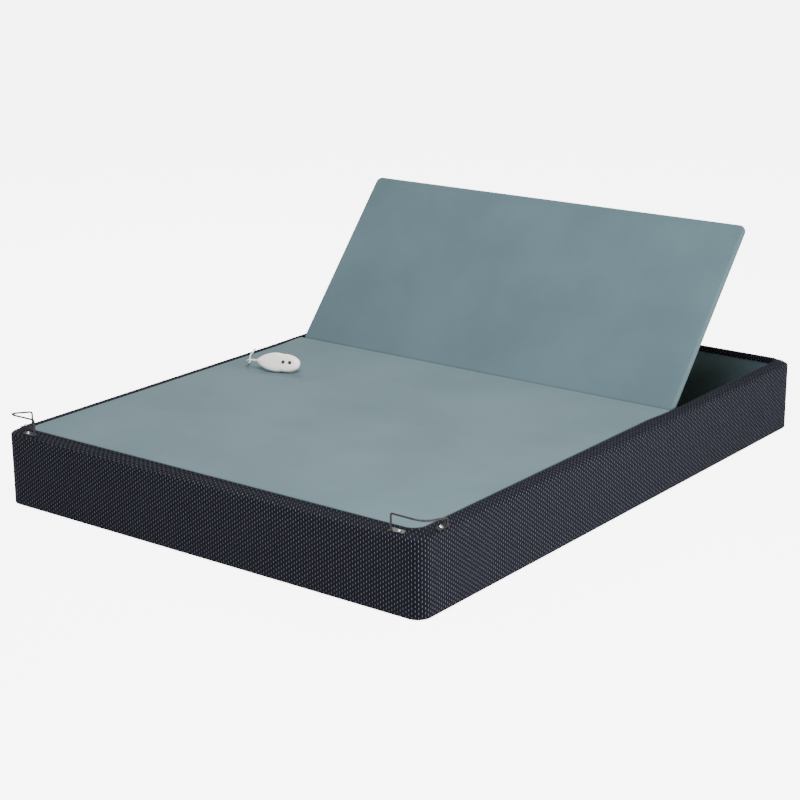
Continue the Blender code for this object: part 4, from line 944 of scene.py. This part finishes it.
upper = dust_grid(dust_high[2], DUST_SAG)
lower = dust_grid(dust_high[2] - DUST_THICKNESS, DUST_SAG)
dust_rings = np.concatenate([upper, lower[::-1]])
dust = surface("dust_cloth_sheet", dust_rings, dust_rings[..., :2] + 2.0)
glide_holes = []
for corner in ("foot_left", "head_left", "foot_right", "head_right"):
    glide_low, glide_high = np.array(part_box("floor_glide_" + corner))
    radius = (glide_high[0] - glide_low[0]) / 2 + 0.001
    hole = surface("hole", turned_grid([(0, -0.01), (radius, -0.01), (radius, 0.03), (0, 0.03)], 32))
    hole.data.transform(Matrix.Translation((*((glide_low + glide_high) / 2)[:2], 0)))
    glide_holes.append(hole)
drilled(dust, glide_holes, 50)
dress(dust, "base", "dust_cloth", "dust_cover")

# %% [markdown]
# ## Retainer bars
# At each foot corner a black wire bar keeps the mattress in place. It rises from a tab on the foot rim, goes
# round the corner and comes down to a tab on the side rim. The wire is a tube along a polyline whose sharp
# corners are cut by short curves; the tabs are flat plates with rounded corners and a hole.

# %% Wire path
WIRE_DIAMETER = 0.0056
FOOT_LEG = np.array([0.654, -0.998])
WIRE_CORNER = np.array([0.762, -1.004])
TAB_LENGTH, TAB_WIDTH, TAB_THICKNESS = 0.045, 0.015, 0.002
TAB_LIFT = 0.0006
TAB_CORNER = 0.004
TAB_HOLE_RADIUS = 0.0024
TAB_BEVEL = 0.0005
SCREW_AT = 0.027
retainers = {
    "right": dict(mirror=1, side_leg=(0.748, -0.885), rises=(0.044, 0.018), bend=0.045),
    "left": dict(mirror=-1, side_leg=(0.742, -0.925), rises=(0.047, 0.037), bend=0.040),
}


def rim_height(inset):
    """Height of the cloth on the rim at this distance in from the outer face: a quarter of a sine wave."""
    return FOLD_Z + (DECK_Z - FOLD_Z) * np.sin(np.clip(inset / RIM_WIDTH, 0, 1) * math.pi / 2)


def eased(points, cut, steps=8):
    """Each inner corner of a polyline becomes a quadratic curve that starts and ends this far from it."""
    points = np.asarray(points, float)
    before, corner, after = points[:-2], points[1:-1], points[2:]
    back = before - corner
    ahead = after - corner
    cut = np.broadcast_to(cut, len(corner))[:, None]
    start = corner + unit(back) * cut
    end = corner + unit(ahead) * cut
    t = np.linspace(0, 1, steps)[None, :, None]
    curves = start[:, None] * (1 - t) ** 2 + corner[:, None] * 2 * t * (1 - t) + end[:, None] * t * t
    return np.concatenate([points[:1], curves.reshape(-1, 3), points[-1:]])


def densified(path, spacing):
    """The same path with points at an even spacing."""
    along = lengths_along(path)
    even = np.linspace(0, along[-1], int(along[-1] / spacing) + 2)
    return np.stack([np.interp(even, along, path[:, axis]) for axis in range(3)], axis=-1)


def wire_path(side_leg, rises, bend, mirror):
    """The bar's centre line: straight runs between five corners, the inner three of them rounded."""
    side_leg = np.asarray(side_leg)
    base = rim_height(HALF_L + FOOT_LEG[1])
    share = (WIRE_CORNER[1] - FOOT_LEG[1]) / (side_leg[1] - FOOT_LEG[1])
    corner_rise = rises[0] + (rises[1] - rises[0]) * share
    corners = [
        (*FOOT_LEG, base + TAB_LIFT),
        (*FOOT_LEG, base + rises[0]),
        (*WIRE_CORNER, base + corner_rise),
        (*side_leg, base + rises[1]),
        (*side_leg, rim_height(HALF_W - side_leg[0]) + TAB_LIFT),
    ]
    path = densified(eased(corners, (0.007, bend, 0.007), 24), 0.0025)
    return path * (mirror, 1, 1)


def swollen(path, radius):
    """Wire radius along the path, with a small weld bead where each end meets its tab."""
    along = lengths_along(path)
    from_end = np.minimum(along, along[-1] - along) - TAB_THICKNESS
    return radius + 0.0016 * np.exp(-(np.maximum(from_end, 0) / 0.0014) ** 2)


def tab_axes(leg, edge, outward, inset, mirror):
    """Origin and axes of a tab lying on the rim's slope: along the edge, outwards and down, and up."""
    slope = math.atan2(rim_height(inset + 0.002) - rim_height(inset - 0.002), 0.004)
    along = np.array([*edge, 0.0])
    out = np.array([outward[0] * math.cos(slope), outward[1] * math.cos(slope), -math.sin(slope)])
    up = np.cross(along, out)
    up = up * np.sign(up[2])
    origin = np.array([*leg, rim_height(inset) + TAB_LIFT])
    flip = np.array([mirror, 1, 1])
    return origin * flip, np.stack([along * flip, out * flip, up * flip])


def tab_grid(origin, axes):
    """A plate between a hole and a rounded rectangle, as rings: hole, top face, edge and underside."""
    far, half = TAB_LENGTH - TAB_CORNER, TAB_WIDTH / 2 - TAB_CORNER
    centres = ((far, half), (0.0, half), (0.0, -half), (far, -half))
    outline = np.concatenate([quarter(at, TAB_CORNER, 90 * i, 6) for i, at in enumerate(centres)])
    outline = np.concatenate([outline, outline[:1]])
    centre = np.array([SCREW_AT, 0.0])
    ray = unit(outline - centre)
    hole = centre + ray * TAB_HOLE_RADIUS
    inner = outline - ray * TAB_BEVEL
    levels = [
        (hole, 0), (hole, TAB_THICKNESS), (inner, TAB_THICKNESS), (outline, TAB_THICKNESS - TAB_BEVEL),
        (outline, 0.0), (hole, 0),
    ]
    rings = np.array([np.column_stack([plan, np.full(len(plan), z)]) for plan, z in levels])
    return origin + rings @ axes


def screw_grid(origin, axes):
    """A domed head with a cross recess: height falls with radius, and drops inside two crossing slots."""
    radius = np.concatenate([np.linspace(0, 0.0030, 11), np.linspace(0.0033, 0.0052, 6)])
    angle = np.linspace(0, 2 * math.pi, 49)
    x = np.outer(radius, np.cos(angle))
    y = np.outer(radius, np.sin(angle))
    dome = 0.0034 * np.sqrt(np.clip(1 - (radius / 0.0056) ** 2, 0, 1))[:, None]
    slot = np.exp(-(np.minimum(np.abs(x), np.abs(y)) / 0.00052) ** 4)
    slot = slot * np.exp(-(radius / 0.0026) ** 8)[:, None]
    top = np.stack([x, y, dome - 0.0013 * slot], axis=-1)
    foot = top[-1] * (1, 1, 0)
    closing = np.stack([foot, foot * 0])
    grid = np.concatenate([top, closing]) + (SCREW_AT, 0, TAB_THICKNESS + 0.0001)
    return origin + grid @ axes


for side, facts in retainers.items():
    mirror, side_leg = facts["mirror"], facts["side_leg"]
    path = wire_path(side_leg, facts["rises"], facts["bend"], mirror)
    bar = tube(f"retainer_bar_{side}", path, swollen(path, WIRE_DIAMETER / 2), 20)
    dress(bar, "base", "black_steel", f"retainer_{side}")
    legs = {
        "foot": (FOOT_LEG, (1, 0), (0, -1), HALF_L + FOOT_LEG[1]),
        "side": (side_leg, (0, -1), (1, 0), HALF_W - side_leg[0]),
    }
    for end, (leg, edge, outward, inset) in legs.items():
        origin, axes = tab_axes(leg, edge, outward, inset, mirror)
        tab = sharpen(surface(f"retainer_tab_{side}_{end}", tab_grid(origin, axes)), 35)
        dress(tab, "base", "black_steel")
        screw = sharpen(surface(f"retainer_head_{side}_{end}", screw_grid(origin, axes)), 45)
        dress(screw, "base", "bright_steel", f"retainer_screw_{side}_{end}")

# %% [markdown]
# ## Handset
# The handset is a drop-shaped shell in two halves with two buttons, lying on its edge. Its edge is an
# ellipse drawn to a point at the tail with a slight waist behind the buttons, and its depth falls off as a
# flattened dome. Both halves come from one formula, with the sign of the height changed.

# %% Handset shells
HANDSET_LENGTH = 0.152
HANDSET_WIDTH = 0.066
HANDSET_WALL = 0.0022
HANDSET_HALVES = {"handset_face": (1, 0.013), "handset_back": (-1, 0.017)}
HANDSET_TAIL = -0.072
HANDSET_CENTRE = (-0.5065, -0.0838)
HANDSET_TURN = Matrix.Rotation(math.radians(17), 4, "Z") @ Matrix.Rotation(math.radians(60), 4, "X")
BUTTONS = {"handset_button_lower": (0.0225, "button_lower"), "handset_button_raise": (0.0455, "button_raise")}
BUTTON_RADIUS = 0.0056


def handset_edge(angle):
    """Edge of the handset at these angles: ellipse, drawn to a tail, narrowed at the waist."""
    x = HANDSET_LENGTH / 2 * np.cos(angle)
    share = (1 - np.cos(angle)) / 2
    waist = 1 - 0.07 * np.exp(-(((x - 0.016) / 0.012) ** 2))
    fullness = np.abs(np.sin(angle)) ** (0.80 + 0.90 * share ** 2)
    return x, np.sign(np.sin(angle)) * HANDSET_WIDTH / 2 * waist * fullness * (1 - 0.08 * share)


def handset_half(side, depth):
    """Rings of one half from the middle of its outside to the parting line, and back inside the wall."""
    angle = np.linspace(0, 2 * math.pi, 129)
    x, y = handset_edge(angle)
    outside = np.sin(np.linspace(0, 0.5 * math.pi, 28))
    inside = outside[::-2]
    thinner = 1 - HANDSET_WALL / (HANDSET_WIDTH / 2)
    reach = np.concatenate([outside, [0.990], inside * thinner])
    tall = depth * (1 - np.clip(outside, 0, 1) ** 4) ** 0.4
    hollow = (depth - HANDSET_WALL) * (1 - np.clip(inside, 0, 1) ** 4) ** 0.4
    height = np.concatenate([np.maximum(tall, 0.0005), [0.00018], np.maximum(hollow, 0.00018)])
    grid = np.stack(np.broadcast_arrays(
        np.maximum(x * reach[:, None], HANDSET_TAIL), y * reach[:, None], side * height[:, None]
    ), axis=-1)
    return grid


def lowest_after_turn(grids):
    """Height of the lowest point of the grids once they are turned as the handset lies."""
    turn = np.array(HANDSET_TURN.to_3x3())
    return min((grid.reshape(-1, 3) @ turn.T)[:, 2].min() for grid in grids)


half_grids = {name: handset_half(*facts) for name, facts in HANDSET_HALVES.items()}
handset_place = Matrix.Translation(
    (*HANDSET_CENTRE, DECK_Z + TOUCH - lowest_after_turn(half_grids.values()))
) @ HANDSET_TURN


def at_handset(piece):
    """Moves a piece made about the handset's own middle to where the handset lies."""
    piece.data.transform(handset_place)
    return piece


def face_height(x, depth=HANDSET_HALVES["handset_face"][1]):
    """Height of the face along its middle: a dome flattened by a fourth power."""
    return depth * (1 - (x / (HANDSET_LENGTH / 2)) ** 4) ** 0.4


def shifted(grid, x, z):
    """The grid moved along the handset and up."""
    return np.asarray(grid) + (x, 0, z)


half_pieces = {}
for name, grid in half_grids.items():
    half_pieces[name] = surface(name + "_shell", grid)
cutters = []
for x, body in BUTTONS.values():
    radius = BUTTON_RADIUS + 0.0004
    profile = [(0, -0.008), (radius, -0.008), (radius, 0.004), (0, 0.004)]
    cutters.append(surface("cutter_" + body, shifted(turned_grid(profile, 48), x, face_height(x))))
drilled(half_pieces["handset_face"], cutters)
for name, piece in half_pieces.items():
    dress(at_handset(sharpen(piece, 40)), "handset", "white_plastic", name)

# %% Buttons, their rings, the lamp and the strain relief
for name, (x, body) in BUTTONS.items():
    top = face_height(x) + 0.0012
    profile = [
        (0, top - 0.0004), (0.0022, top - 0.00036), (0.0041, top - 0.00014), (0.0048, top),
        (0.0052, top - 0.00012), (BUTTON_RADIUS, top - 0.0006), (BUTTON_RADIUS, top - 0.0030),
        (BUTTON_RADIUS, top - 0.0055), (0, top - 0.0055),
    ]
    button = sharpen(surface(name + "_cap", shifted(turned_grid(profile, 56), x, 0)), 40)
    dress(at_handset(button), body, "black_plastic", name)
    turn = np.linspace(0, 2 * math.pi, 17)
    ring_profile = np.stack([
        BUTTON_RADIUS + 0.0016 + 0.0009 * np.cos(turn), face_height(x) - 0.0001 + 0.0006 * np.sin(turn)
    ], axis=1)
    ring = surface(name + "_ring", shifted(turned_grid(ring_profile, 56), x, 0))
    dress(at_handset(ring), "handset", "white_plastic")

LAMP_X = 0.0610
lamp_profile = [(0, 0.0005), (0.0007, 0.0004), (0.0011, 0.0), (0.0011, -0.0010), (0, -0.0010)]
lamp = surface("handset_lamp", shifted(turned_grid(lamp_profile, 24), LAMP_X, face_height(LAMP_X)))
dress(at_handset(lamp), "handset", "grey_plastic")

RELIEF_LENGTH = 0.022
down = np.linspace(0, 1, 45)
rib = 0.00035 * (np.sin(down * 2 * math.pi * 7) > 0) * (down > 0.12) * (down < 0.97)
relief_profile = np.column_stack([0.0042 - 0.0011 * down - rib, down * RELIEF_LENGTH])
relief_bore = [(0.0026, RELIEF_LENGTH), (0.0026, 0.018), (0, 0.018)]
relief_profile = np.concatenate([[(0, 0)], relief_profile, relief_bore])
relief = sharpen(surface("handset_strain_relief", turned_grid(relief_profile, 32)), 35)
relief_turn = Matrix.Rotation(-math.pi / 2, 4, "Y")
relief.data.transform(Matrix.Translation((HANDSET_TAIL - TOUCH, 0, 0)) @ relief_turn)
dress(at_handset(relief), "handset", "white_cord", "cord_strain_relief")

# %% [markdown]
# ## Floor and light
# The base stands on a plain pale floor in a white room. A wide soft lamp hangs beyond the foot end, a small
# one stands behind the far left corner and a third lights the right side; the world lights the rest.

# %% Floor and lamps
FLOOR_GLOW = 6.0
ROOM_LIGHT = 0.50
ROOM_GLOW = 6.5
LAMPS = (
    ("overhead_lamp", (1.3, -1.9, 3.6), (0.2, -0.3, 0.2), 2.0, 240),
    ("back_lamp", (-2.8, 1.9, 3.0), (-0.2, -0.2, 0.2), 0.8, 70),
    ("side_lamp", (5.0, 0.3, 1.2), (0.4, 0.0, 0.2), 1.4, 190),
)
floor_grid = np.stack(np.meshgrid(np.linspace(-30, 30, 5), np.linspace(-30, 30, 5), indexing="ij"), axis=-1)
floor_grid = np.concatenate([floor_grid, np.zeros((5, 5, 1))], axis=-1)
floor = surface("floor", floor_grid, closed=False)
floor_finish, floor_shader, floor_add, floor_tree = start_material("floor", (0.86, 0.86, 0.86), 0.9)
floor_shader.inputs["Emission Color"].default_value = (1, 1, 1, 1)
seen_first = floor_add("ShaderNodeLightPath").outputs["Is Camera Ray"]
floor_tree.links.new(product(floor_add, seen_first, FLOOR_GLOW), floor_shader.inputs["Emission Strength"])
floor.data.materials.append(floor_finish)

world = bpy.data.worlds.new("room")
bpy.context.scene.world = world
world.use_nodes = True
room = world.node_tree
background = room.nodes["Background"]
background.inputs["Color"].default_value = (1.0, 1.0, 1.0, 1)
path_kind = room.nodes.new("ShaderNodeLightPath")
strength = room.nodes.new("ShaderNodeMix")
room.links.new(path_kind.outputs["Is Camera Ray"], strength.inputs[0])
strength.inputs[2].default_value = ROOM_LIGHT
strength.inputs[3].default_value = ROOM_GLOW
room.links.new(strength.outputs[0], background.inputs["Strength"])


def soft_lamp(name, place, aim, size, power):
    """A square area lamp at a place, turned to face the aim."""
    data = bpy.data.lights.new(name, "AREA")
    data.size = size
    data.energy = power
    back = np.array(place, float) - np.array(aim, float)
    back /= np.linalg.norm(back)
    right = np.cross([0, 0, 1], back)
    right /= np.linalg.norm(right)
    linked(name, data).matrix_world = stood(place, np.stack([right, np.cross(back, right), back], axis=1))


for name, place, aim, size, power in LAMPS:
    soft_lamp(name, place, aim, size, power)
